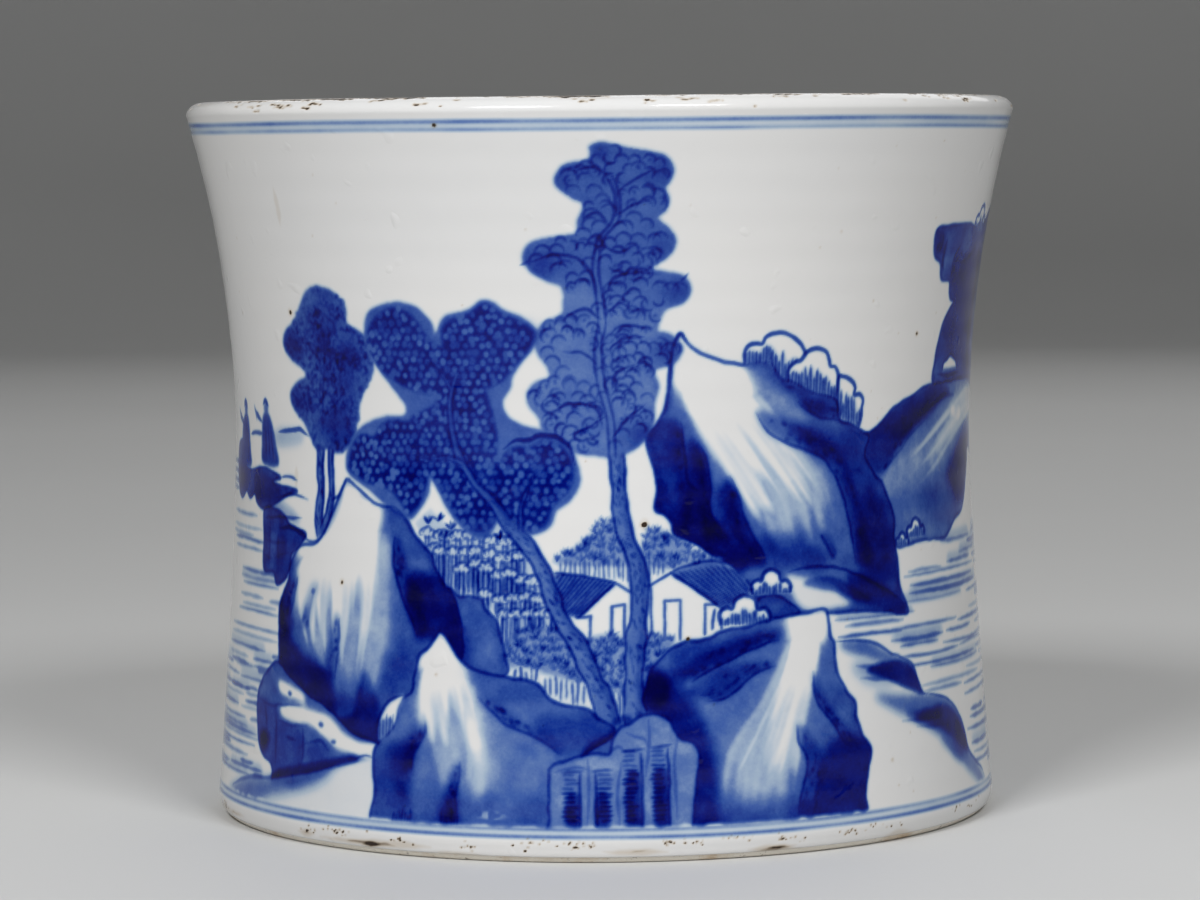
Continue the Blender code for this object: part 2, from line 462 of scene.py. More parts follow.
def tuft(canvas, s, h, size):
    """A head of leaves like a little cloud: pale puffs with curled dark edges."""
    for turn in rng.permutation(4):
        angle = math.radians(25 + 43 * turn + rng.uniform(-12, 12))
        puff_s = s + size * 0.85 * math.cos(angle)
        puff_h = h + size * 0.7 * math.sin(angle)
        reach = size * rng.uniform(0.42, 0.56)
        wash(canvas, blob(puff_s, puff_h, reach, reach), 0.05, clear=1.0)
        arc(canvas, puff_s, puff_h, reach, math.degrees(angle) - 130, 260, 0.4, 0.42)
    arc(canvas, s, h, size * 0.35, 200, 140, 0.4, 0.3)


def sapling(canvas, s, h, height, crown):
    """A small tree of a grove: a pale stem between dark gaps and a head of little round puffs."""
    half = 0.5
    wash(canvas, [(s + half, h), (s + 2.2 * half, h), (s + 2.2 * half, h + height), (s + half, h + height)],
         0.16, closed_curve=False)
    for side in (-half, half):
        stroke(canvas, [(s + side, h), (s + side * 0.9, h + height)], 0.42, 0.38, taper=0.05)
    tuft(canvas, s, h + height, crown)


def feathers(canvas, points):
    """A low mass of needle leaves: a pale wash with short strokes fanning up and out."""
    length = 1.6
    outline = curve(points, closed=True, spacing=0.8)
    wash(canvas, points, 0.2, feather=0.3, clear=0.9)
    for s, h in crowd(outline, 1.5, jitter=0.3):
        lean = rng.uniform(-25, 25)
        for slant in (-48, -10, 30):
            turn = math.radians(lean + slant + rng.uniform(-12, 12))
            tip = (s + length * rng.uniform(0.7, 1.15) * math.sin(turn), h + length * math.cos(turn))
            stroke(canvas, [(s, h), tip], 0.36, 0.36 * rng.uniform(0.6, 1.2), taper=0.5, shake=0.03)


def stems(canvas, left, right, low, high, spacing, amount=0.4, width=0.5):
    """A row of upright strokes between two heights, each given at the left and the right end."""
    for s in np.arange(left, right, spacing):
        share = (s - left) / max(right - left, 0.1)
        bottom = low[0] + (low[1] - low[0]) * share + rng.uniform(-0.5, 0.5)
        top = high[0] + (high[1] - high[0]) * share + rng.uniform(-0.5, 0.5)
        stroke(canvas, [(s + rng.normal(0, 0.12), bottom), (s, top)], width * rng.uniform(0.7, 1.2),
               amount * rng.uniform(0.8, 1.2), taper=0.2)


def cloud(canvas, top, ground, share=0.45):
    """A domed bush like a cloud: a white body in a heavy outline, fringed from the ground up."""
    upper, base = curve(top), curve(ground)
    shape = np.vstack([upper, base[::-1]])
    wash(canvas, shape, 0.0, clear=1.0, closed_curve=False)
    fringe = []
    for at in np.arange(base[:, 0].min() + 0.35, base[:, 0].max(), 0.78):
        foot = np.interp(at, *base[np.argsort(base[:, 0])].T)
        peak = upper[np.abs(upper[:, 0] - at) < 0.6, 1].max(initial=foot)
        tip = foot + (peak - foot) * min(share * rng.uniform(0.65, 1.35), 0.85)
        fringe.append((at, tip))
        stroke(canvas, [(at, foot), (at + rng.normal(0, 0.1), tip)], rng.uniform(0.4, 0.6), 0.46, taper=0.2)
    if len(fringe) > 1:
        wash(canvas, np.vstack([base[np.argsort(base[:, 0])], fringe[::-1]]), 0.16, feather=0.5, within=shape,
             closed_curve=False)
    stroke(canvas, top, 0.72, 0.56, taper=0.08, shake=0.06)


def bush(canvas, s, h, radius):
    """One cloud bush: a dome with a smaller one at either side."""
    low = h - radius * 0.5
    top = [(s - radius, low), (s - radius, h - radius * 0.05), (s - radius * 0.72, h + radius * 0.14),
           (s - radius * 0.5, h + radius * 0.1), (s - radius * 0.36, h + radius * 0.42),
           (s, h + radius * 0.58), (s + radius * 0.4, h + radius * 0.4),
           (s + radius * 0.52, h + radius * 0.04), (s + radius * 0.8, h + radius * 0.06),
           (s + radius, h - radius * 0.16), (s + radius, low)]
    cloud(canvas, top, [(s - radius, low), (s, low - 0.15), (s + radius, low)])


def ripples(canvas, left, right, low, high, spacing, amount):
    """Still water: long level strokes with blurred edges, in rows that are now dense and now open."""
    for h in np.arange(low, high, spacing):
        start = left + rng.uniform(0, 4)
        while start < right:
            finish = min(start + rng.uniform(12, 44), right + rng.uniform(-3, 3))
            if rng.random() < 0.86 and finish - start > 3:
                level = h + rng.normal(0, spacing * 0.12)
                middle = ((start + finish) / 2, level + rng.normal(0, 0.15))
                stroke(canvas, [(start, level), middle, (finish, level)], rng.uniform(0.45, 0.9),
                       amount * rng.uniform(0.45, 1.2), taper=0.2, shake=0.04, soft=0.6)
                if rng.random() < 0.35:
                    wash(canvas, [(start, level), (finish, level), (finish - 1, level + spacing),
                                  (start + 1, level + spacing)], amount * 0.35, feather=spacing / 2,
                         closed_curve=False)
            start = finish + rng.uniform(0.4, 5)




# ----------------------------------------------------------------------------------------------------------
# The landscape, from what is furthest to what is nearest.
# ----------------------------------------------------------------------------------------------------------

FIRST_LINE = 7.9


def paint_borders(cobalt):
    """Double rings under the lip and over the foot, with a thin wash between each pair."""
    h = cobalt.h[:, None]
    once = np.abs(cobalt.s + PITCH / 2) < SPAN / 2
    turned = (cobalt.s + SPAN / 4) % SPAN
    turned = np.minimum(turned, SPAN - turned)
    ragged = FIRST_LINE + 0.5 * (grain(turned / 1.7, turned * 0, 30) - 0.5)
    cobalt.amount *= smooth(h, ragged - 0.7, ragged + 0.5)
    worn = 1 - smooth(np.hypot((cobalt.s + 23.4) / 4.4, (h - 9.8) / 1.5), 0.3, 1.0)
    scratches = smooth(grain(cobalt.s / 1.3 + h * 0, h / 0.7 + cobalt.s * 0, 34), 0.36, 0.72)
    cobalt.amount *= (1 - 0.6 * worn * scratches).astype(np.float32)
    for level, width, amount in ((153.6, 0.65, 0.25), (151.9, 0.5, 0.16), (7.0, 0.5, 0.2), (5.5, 0.55, 0.28)):
        wander = 0.25 * grain(turned / 40, turned * 0 + level, 31)
        press = 0.6 + 0.8 * grain(turned / 12, turned * 0 + level, 32)
        gap = np.abs(h - level - wander) - width / 2
        cobalt.amount += (amount * once * press * smooth(-gap, -0.5, 0.5)).astype(np.float32)
    for low, high, amount in ((151.9, 153.8, 0.055), (5.4, 7.3, 0.05)):
        between = smooth(h, low - 0.4, low + 0.4) * (1 - smooth(h, high - 0.4, high + 0.4))
        press = 0.6 + 0.8 * grain(turned / 14, turned * 0, 33)
        cobalt.amount += (amount * once * between * press).astype(np.float32)


def paint_water(cobalt):
    """Water lines: left, right, low and high of each stretch, the lines' spacing and their tone."""
    for left, right, low, high, spacing, amount in (
            (72, 124, 50.5, 63, 1.7, 0.33), (51, 74, 44.6, 49.4, 1.2, 0.36), (68, 126, 37, 50, 1.9, 0.33),
            (78, 128, 30.6, 36.6, 1.7, 0.34), (98, 136, 11, 29, 1.9, 0.32),
            (-130, -89, 12.4, 31, 1.3, 0.32), (-126, -88, 31, 36, 2.2, 0.26),
            (-116, -82, 36, 45, 1.6, 0.28), (-108, -82, 47.6, 57, 1.5, 0.26),
            (-118, -91, 61.4, 69, 1.4, 0.3), (135, 276, 12, 56, 3.2, 0.2), (-251, -131, 12, 58, 3.2, 0.2)):
        ripples(cobalt, left, right, low, high, spacing, amount)


def paint_far_right(cobalt):
    """The overhanging cliff at the right, and the rock and shore under it."""
    shore = [(61, 86), (64, 87.4), (66.6, 88.8), (70, 91.2), (74, 93.1), (79.4, 94.5), (84, 96.1),
             (92, 96.6), (104, 97), (120, 96.6), (134, 93), (150, 86), (160, 77), (150, 71), (134, 70),
             (124, 78), (117, 81.4), (113.6, 78.6), (110.4, 74), (107, 70), (103.6, 67.6), (98, 66),
             (92.4, 62.9), (86, 63), (80, 63.2), (70, 63), (66, 72), (62, 80)]
    edge = rock(cobalt, shore, 0.34,
                bare=[([(96, 91), (104, 94.6), (116, 95.4), (128, 92), (124, 87), (112, 88),
                        (102, 87)], 1.8, 0.7),
                      ([(67, 79), (76, 83), (88, 88), (100, 92), (108, 88), (96, 81), (84, 76.6), (74, 74),
                        (68, 74)], 1.8, 0.34)],
                runs=[([(130, 93), (112, 95.4), (98, 92), (86, 87), (70, 79)],
                       [(128, 88), (114, 87), (100, 83), (88, 77), (74, 71)], 9, 0.95, 0.5, 1.2)],
                shades=[([(62, 85.6), (70, 91), (80, 94.6), (90, 96.6), (97, 94.6), (90, 91.6), (80, 88),
                          (73, 83.6), (67, 78.4), (63, 81)], 1.0, 0.44),
                        ([(70, 88), (80, 92), (90, 94.6), (88, 91.4), (80, 88.6), (74, 85)], 1.4, 0.36),
                        ([(78, 72), (90, 76), (102, 82), (112, 85), (120, 84), (112, 76), (104, 68),
                          (92, 65)], 1.8, 0.16),
                        ([(96, 77), (106, 83), (118, 84), (110, 74), (104, 70), (99, 72)], 1.6, 0.5)],
                pooling=0.1, rim=1.6, seed=40)
    hollow(cobalt, [(66.6, 77.8), (70.4, 80.6), (74, 83), (79, 86.6), (84.6, 89)],
           [(68, 81), (71, 84), (75, 87), (80, 90), (86, 92)], 0.14, edge, 14, line=0.14)
    stroke(cobalt, [(86, 91.6), (93, 93.4), (100, 93.4)], 1.2, 0.4, taper=0.5, soft=0.8)
    cliff = [(82.3, 129.6), (86, 130.3), (92, 130.6), (100, 130.5), (106, 129.6), (114, 131), (122, 134),
             (132, 131), (140, 127), (150, 124), (158, 116), (163, 106), (160, 94), (164, 84), (150, 84),
             (134, 90), (120, 95.6), (106, 96.8), (94, 96.6), (87.2, 96.8), (87.5, 100.6), (88.8, 105),
             (91, 109.6), (94, 112.6), (96, 113.9), (93.6, 114.6), (92.6, 116), (91.8, 118.6), (88, 118.9),
             (86.8, 120.2), (86.2, 122.4), (83.4, 124), (82.4, 126.2)]
    edge = rock(cobalt, cliff, 0.56,
                bare=[([(106, 131), (112, 132.6), (113, 130.4), (108, 129.4)], 0.6, 1.0),
                      ([(84, 123.6), (87, 124.6), (92, 124), (97, 125.6), (104, 125.4), (98, 123.2),
                        (90, 121.6), (87.4, 121.4)], 0.7, 0.3)],
                runs=[([(118, 122), (116, 112), (114, 102)],
                       [(130, 120), (127, 110), (124, 98)], 7, 0.5, 0.4, 1.1),
                      ([(140, 120), (141, 110), (143, 96)],
                       [(150, 116), (151, 106), (152, 92)], 6, 0.6, 0.4, 1.1)],
                shades=[([(82, 130), (86, 130), (87.6, 125), (84, 123.6)], 0.7, 0.22),
                        ([(94, 119), (104, 124), (116, 124), (120, 114), (112, 104), (104, 110),
                          (96, 113.6)], 1.6, 0.34),
                        ([(91, 109), (99, 112), (112, 104), (112, 98), (100, 100), (92, 103)], 2.0, 0.22),
                        ([(128, 124), (136, 118), (134, 100), (126, 96), (124, 108)], 1.8, 0.26),
                        ([(152, 118), (160, 108), (157, 92), (150, 90), (150, 104)], 1.8, 0.26)],
                pooling=0.12, rim=1.6, seed=50)
    for crisp, other in (([(85.4, 129), (85.6, 126.6), (84.6, 124.6)],
                          [(83.4, 128.4), (83.6, 126.6), (83.6, 125)]),
                         ([(87.6, 127.6), (87.4, 124), (87.8, 120.6)],
                          [(86.4, 126), (86.4, 124), (87, 121)]),
                         ([(95.6, 126.4), (93, 123.6), (92.4, 119)],
                          [(98, 124.6), (95.4, 122), (94.4, 118)]),
                         ([(109.4, 129), (106, 124.6), (99, 122.6), (92.8, 122.8)],
                          [(108, 126.4), (103.6, 125.6), (98, 125), (94, 125)]),
                         ([(112, 126), (113, 116), (110, 107), (112, 98)],
                          [(115, 124), (116.6, 115), (114, 107), (116, 98)]),
                         ([(134, 126), (136.4, 116), (133.4, 106), (136, 94)],
                          [(138, 124), (140, 115), (137.6, 106), (140, 95)]),
                         ([(152, 120), (155, 110), (152, 100), (154.6, 90)],
                          [(155, 118), (158, 109), (156, 100), (158, 90)])):
        hollow(cobalt, crisp, other, 0.22, edge, 6, line=0.34)
    cloud(cobalt, [(91.8, 99.2), (92.4, 100.8), (94.4, 101.6), (96.4, 102.4), (98.6, 101.8), (100.6, 100.9),
                   (101.4, 99.2)],
          [(91.8, 99.2), (96, 99), (101.4, 99.2)], 0.12)
    stroke(cobalt, [(89, 98.4), (96, 98), (104, 98.4)], 1.0, 0.4, taper=0.3)
    for s, h, radius in ((78.8, 66, 3.6), (73.4, 64, 2.3), (108.4, 131.9, 4.8)):
        bush(cobalt, s, h, radius)
    for s, h, radius in ((150, 125, 3.4), (155.5, 119, 3.0), (160, 84, 3.2), (166, 81, 2.6)):
        bush(cobalt, s, h, radius)


def paint_far_left(cobalt):
    """The ledge at the left with two small robed walkers, who are only shapes, and the blocks under it."""
    for level, left, right in ((79, -128, -104), (77, -130, -104), (75, -130, -106), (73.4, -128, -112)):
        stroke(cobalt, [(left, level + 0.4), (right, level)], 0.8, 0.3, taper=0.3, soft=0.6)
    ledge = [(-113.6, 82.6), (-110, 84.2), (-107, 83), (-106, 79.2), (-100, 78.2), (-94, 79.2), (-88, 78.6),
             (-84, 77.6), (-88, 76.6), (-83, 75.6), (-77, 75.2), (-82, 73.6), (-86, 72), (-92, 70.4),
             (-96, 71.6), (-98, 73.4), (-101, 72.2), (-104, 73.6), (-108, 71.9), (-112, 73.6), (-114, 78)]
    rock(cobalt, ledge, 0.62,
         shades=[([(-98, 77.6), (-88, 77.4), (-84, 74), (-94, 72), (-98, 74)], 1.0, 0.3),
                 ([(-112, 79), (-104, 77), (-106, 73.4), (-112, 74.6)], 1.0, 0.22)],
         pooling=0.1, rim=1.2, seed=70)
    stones = [(-91.6, 70.4), (-91.4, 64), (-91, 57.4), (-86, 57), (-84.4, 54.6), (-80.8, 56), (-79, 59),
              (-78.4, 61.6), (-74.6, 64.2), (-73.6, 66.2), (-79, 67.4), (-82, 69.4), (-86, 70.6)]
    rock(cobalt, stones, 0.6,
         shades=[([(-84, 68), (-80.6, 67), (-82, 58), (-85, 57)], 0.8, 0.22),
                 ([(-91, 69), (-88, 69), (-88.6, 59), (-91, 58)], 0.8, 0.14)],
         pooling=0.12, rim=1.2, seed=71)
    wash(cobalt, [(-91, 71), (-84, 72.4), (-78, 70.4), (-76, 68.4), (-82, 68.6)], 0.16, feather=1.0)
    for line in ([(-88.6, 69), (-88.4, 58)], [(-84.6, 66.8), (-84.2, 58)],
                 [(-91, 64), (-86, 63.4), (-80, 64)], [(-84, 61), (-79.6, 61.6)], [(-91, 60.4), (-87, 60)]):
        stroke(cobalt, line, 0.6, 0.22, taper=0.4, soft=0.5)
    for line, width in (([(-91, 68.6), (-84, 69), (-75, 69.4)], 0.6),
                        ([(-86, 73), (-79, 74.2), (-72.6, 73.6)], 0.5),
                        ([(-84, 77.6), (-80, 78), (-77, 77.4)], 0.6),
                        ([(-84, 66.6), (-79, 67.2), (-75, 66.2), (-72.6, 65)], 0.9),
                        ([(-85, 87.4), (-80, 88), (-75.6, 88.2), (-72.6, 87)], 0.9),
                        ([(-101, 86.2), (-97, 86.6), (-93, 86.6)], 0.9),
                        ([(-73.6, 65), (-70.2, 64.6), (-67.6, 66), (-65.8, 69), (-64.8, 73)], 0.8),
                        ([(-66, 73.6), (-63.6, 74.4), (-62, 75.4), (-60.4, 78.6)], 0.7)):
        stroke(cobalt, line, width, 0.44, taper=0.25)
    wash(cobalt, [(-86, 87.6), (-76, 88), (-76, 85.6), (-86, 84.6)], 0.12, feather=1.2)
    for s, base, lean in ((-105.4, 79.6, 0.6), (-89.8, 80.6, -1.2)):
        robe = [(s - 3.4, base), (s - 3.7, base + 4.6), (s - 2.7 + lean * 0.5, base + 8.8),
                (s - 0.6 + lean, base + 10.6), (s + 1.4 + lean, base + 10.2),
                (s + 2.8 + lean * 0.5, base + 7), (s + 3.6, base + 3.2), (s + 4.4, base - 0.4)]
        wash(cobalt, robe, 0.62, feather=0.35, clear=0.9)
        wash(cobalt, blob(s + lean + 0.1, base + 11.6, 1.1, 1.3), 0.36, clear=0.8, feather=0.3)
        stroke(cobalt, [(s + lean - 1.4, base + 12.2), (s + lean, base + 13.3),
                        (s + lean + 1.5, base + 12)], 1.0, 0.46)
        for shift, top in ((-1.6, 8), (0.4, 9), (2.4, 7.4)):
            stroke(cobalt, [(s + lean * 0.6 + shift * 0.6, base + top), (s + shift, base + 0.6)], 0.6, 0.3)
        stroke(cobalt, [(s - 2.2 + lean, base + 8.4), (s - 4.4 + lean, base + 9.4),
                        (s - 6.2 + lean, base + 11)], 1.1, 0.46)
        stroke(cobalt, [(s - 5.6 + lean, base + 8.6), (s - 7 + lean, base + 12)], 0.5, 0.36)


def paint_right_bank(cobalt):
    """The low white banks beyond the right-hand rock."""
    shape = [(50.4, 45), (53, 44), (58, 43.6), (63, 42.6), (67, 40.4), (71, 38.8), (74.6, 37.2),
             (76.4, 33.6), (78.4, 30.4), (83, 29.6), (87.6, 28.4), (91.6, 26), (95.6, 21.8), (98, 16.2),
             (102, 13), (106, 11), (112, 6), (112, 2), (54, 2), (54, 20), (50, 34)]
    edge = curve(shape, closed=True)
    wash(cobalt, edge, 0.0, clear=1.0, closed_curve=False)
    for patch, feather, amount in (([(53, 43.4), (60, 43.2), (66, 40.4), (71, 38.6), (66, 38.6), (60, 40.2),
                                     (55, 41.4)], 0.9, 0.34),
                                   ([(60, 37), (66, 38.4), (73, 37.6), (76.6, 33.6), (78.2, 30.6), (73, 32),
                                     (67, 34.4)], 0.6, 0.8),
                                   ([(56, 38.6), (62, 39), (70, 37), (68, 34), (60, 34.6)], 1.6, 0.16),
                                   ([(62, 31.6), (70, 30.6), (80, 30), (88, 28.2), (95.6, 21.8), (98, 16.4),
                                     (92, 14.6), (85, 20), (76, 24.6), (68, 28)], 1.1, 0.34),
                                   ([(74, 25.6), (82, 27), (89, 26.4), (94, 23), (97, 18.6), (97.8, 15.6),
                                     (92, 18), (85, 22)], 0.8, 0.66),
                                   ([(72, 27), (80, 26.6), (86, 25), (80, 24.6), (74, 25.6)], 0.7, 0.3),
                                   ([(84, 20), (92, 15), (99, 10.6), (106, 7), (110, 7), (104, 11.6),
                                     (97.6, 16)], 1.2, 0.3)):
        wash(cobalt, patch, amount, feather=feather, within=edge)
    for h, left, right in ((25.4, 70, 84), (23.6, 75, 88), (35.6, 58, 68), (38.2, 57, 64)):
        stroke(cobalt, [(left, h), (right, h - 0.9)], 0.9, 0.24, taper=0.5, soft=0.6)
    for points in ([(51.4, 43.8), (57, 43.7), (63, 42.6), (67, 40.4), (71, 38.8), (74.6, 37.2),
                    (76.4, 33.6), (78.4, 30.4)],
                   [(76, 30.6), (83, 29.6), (87.6, 28.4), (91.6, 26), (95.6, 21.8), (98, 16.2), (102, 13),
                    (107, 10.4), (111, 7)]):
        stroke(cobalt, points, 0.6, 0.36, taper=0.2)


def paint_back(cobalt):
    """The quiet far side: low hills across the water, a spit with two trees, and an empty moored boat."""
    for ridge in ([(172, 62), (182, 64), (190, 70), (198, 75), (206, 73), (213, 78), (221, 80), (230, 74),
                   (240, 75), (250, 68), (262, 59.4)],
                  [(-261, 59.4), (-252, 66), (-243, 70), (-236, 66), (-226, 73), (-217, 77), (-208, 74),
                   (-200, 68), (-188, 70), (-176, 66), (-160, 63), (-146, 61)]):
        low = [(ridge[-1][0], 58.5), ((ridge[0][0] + ridge[-1][0]) / 2, 57.5), (ridge[0][0], 58.5)]
        edge = np.vstack([curve(ridge), curve(low)])
        wash(cobalt, edge, 0.13, feather=0.4, closed_curve=False)
        fold(cobalt, ridge, 4.0, 0.3, side=-1, line=0.26, width=0.7, within=edge)
        for s, h in ridge[2:-2:2]:
            hollow(cobalt, [(s, h - 0.6), (s - 2, h - 5), (s - 1, h - 9)],
                   [(s + 3, h - 2), (s + 2, h - 6), (s + 2, h - 9)], 0.14, edge, 3, feather=1.0, line=0.2)
        stroke(cobalt, low, 0.6, 0.24, taper=0.2)
    spit = [(-250, FIRST_LINE), (-243, 13), (-230, 18), (-216, 21), (-200, 25), (-188, 30), (-178, 33),
            (-170, 29), (-160, 23), (-148, 18.6), (-138, 14), (-128, FIRST_LINE), (-128, 2), (-250, 2)]
    rock(cobalt, spit, 0.05,
         shades=[([(-243, 13), (-226, 18.4), (-204, 23), (-206, 19), (-226, 14), (-244, 9)], 1.4, 0.3),
                 ([(-164, 25), (-150, 19), (-136, 13), (-130, 8), (-146, 11), (-162, 18)], 1.4, 0.32),
                 ([(-236, 12), (-214, 12), (-190, 10), (-190, 6), (-230, 6)], 1.8, 0.2)],
         pooling=0.16, rim=1.4, seed=111)
    for left, right, h in ((-232, -214, 12.4), (-226, -206, 15), (-158, -146, 13.6), (-190, -172, 11)):
        stroke(cobalt, [(left, h), ((left + right) / 2, h + 0.7), (right, h)], 0.7, 0.26, taper=0.4, soft=0.5)
    crag = [(-204, 24), (-202, 32), (-198.6, 37), (-195, 43), (-192, 50), (-187.6, 55.6), (-184, 52),
            (-180.6, 48), (-178, 42), (-173.4, 38), (-170, 31), (-165, 26), (-163.6, 18), (-166, 12),
            (-180, 9), (-198, 10), (-206, 16)]
    edge = rock(cobalt, crag, 0.42, bare=[([(-190, 52), (-187.6, 54.4), (-185, 51), (-186, 44), (-190, 36),
                                            (-195, 30), (-198, 32), (-194, 42)], 1.6, 0.95),
                                          ([(-178, 36), (-174, 35), (-170, 28), (-170, 20), (-176, 18),
                                            (-178, 26)], 1.5, 0.7)],
                runs=[([(-194, 40), (-197, 30), (-199, 20)],
                       [(-186, 44), (-189, 30), (-191, 18)], 9, 0.95, 0.4, 1.1),
                      ([(-178, 28), (-179, 20), (-180, 13)],
                       [(-171, 27), (-170, 20), (-170, 13)], 6, 0.8, 0.4, 1.1)],
                shades=[([(-186, 52), (-181, 47), (-179, 40), (-180, 30), (-183, 22), (-187, 26),
                          (-185, 38)], 1.2, 0.4),
                        ([(-204, 22), (-200, 30), (-197, 24), (-199, 14), (-205, 15)], 1.2, 0.3),
                        ([(-172, 36), (-166, 27), (-165, 15), (-169, 14), (-170, 26)], 1.0, 0.34)],
                seed=110)
    for crisp, other in (([(-186.6, 53), (-184, 44), (-186, 36), (-182, 28), (-184, 18)],
                          [(-183, 48), (-180, 40), (-181, 32), (-179, 24), (-181, 16)]),
                         ([(-198, 36), (-199.6, 28), (-197, 20), (-198, 12)],
                          [(-196, 34), (-197, 28), (-195, 20), (-196, 12)]),
                         ([(-174, 37), (-173, 29), (-175, 21), (-173, 13)],
                          [(-172, 34), (-170.6, 28), (-172.6, 20), (-171, 13)])):
        hollow(cobalt, crisp, other, 0.24, edge, 9, line=0.4)
    trunk(cobalt, [(-214, 21), (-216, 30), (-213.4, 41), (-216, 53), (-214, 66), (-216, 79)], 3.8, 1.8, 0.24)
    for limb in ([(-214.4, 62), (-209, 67), (-204, 74)], [(-215, 60), (-220, 66), (-226, 73)],
                 [(-215, 72), (-210, 80), (-207, 86)]):
        trunk(cobalt, limb, 1.1, 0.5, 0.2, outline=0.4)
    for s, h, half_s, half_h, start, sweep in (
            (-225, 77, 7.0, 5.0, 20, 250), (-205.6, 78, 7.6, 5.4, -80, 250),
            (-221, 88.4, 7.6, 5.6, 30, 230), (-207, 90, 7.2, 5.4, -70, 240), (-215, 98, 7.6, 5.6, -20, 220),
            (-215.4, 83, 8.0, 5.0, 0, 200)):
        leaf_edge = canopy(cobalt, blob(s, h, half_s, half_h, 7, 0.07, s), 0.34,
                           [(s, h + half_h * 0.6, 3.0, 0.2)])
        scallops(cobalt, s, h, half_s * 0.9, half_h * 0.86, start, sweep, 3, 0.38, leaf_edge)
    trunk(cobalt, [(-203, 25), (-201, 32), (-198, 39), (-199, 47), (-196, 56)], 2.8, 1.4, 0.28)
    bright_leaves(cobalt, [[(-208, 58), (-206, 65), (-200, 68.6), (-197.6, 63.6), (-199, 57), (-204, 55.6)],
                           [(-200, 62), (-199, 70), (-193, 74), (-187.4, 70), (-186, 63), (-190, 58.6),
                            (-196, 58)],
                           [(-192, 62), (-186, 60), (-184, 55), (-189, 52.6), (-194, 55)]],
                  1.8, 0.84, 0.88, 0.42)
    for s, h, radius in ((-160, 24.4, 3.4), (-153, 21.4, 2.8), (-228, 20, 3.2), (-234, 17.6, 2.4),
                         (-170, 32.4, 3.0)):
        bush(cobalt, s, h, radius)
    hull = [(215, 34.4), (219, 31.4), (227, 29.8), (237, 29.6), (246, 31), (252.6, 35), (246, 33.6),
            (233, 32.8), (222, 33.4)]
    wash(cobalt, hull, 0.42, clear=1.0)
    stroke(cobalt, hull, 0.6, 0.36, closed=True)
    awning = [(227, 33), (227.6, 36.4), (230, 38.2), (233.4, 38.8), (237, 37.8), (239, 35.6), (239.4, 33.2)]
    wash(cobalt, awning, 0.2, clear=1.0)
    stroke(cobalt, awning, 0.55, 0.42, taper=0.1)
    for s in (229, 230.8, 232.6, 234.4, 236.2, 237.9):
        stroke(cobalt, [(s, 33.4), (s + 0.2, 36.9 + 1.2 * math.cos((s - 233) / 4))], 0.4, 0.28, taper=0.1)
    stroke(cobalt, [(249, 34.4), (250.6, 44), (251.4, 53)], 0.55, 0.4, taper=0.2)
    for h, left, right in ((28.4, 210, 256), (26.6, 216, 248)):
        stroke(cobalt, [(left, h), (right, h)], 0.7, 0.24, taper=0.3, soft=0.6)
    for s, h in ((196, 108), (203, 112), (209, 109), (214, 114), (-236, 116), (-229, 119)):
        stroke(cobalt, [(s - 2.4, h + 1.1), (s - 0.9, h + 0.9), (s, h)], 0.5, 0.4, taper=0.5)
        stroke(cobalt, [(s, h), (s + 1.0, h + 1.0), (s + 2.6, h + 0.9)], 0.5, 0.4, taper=0.5)


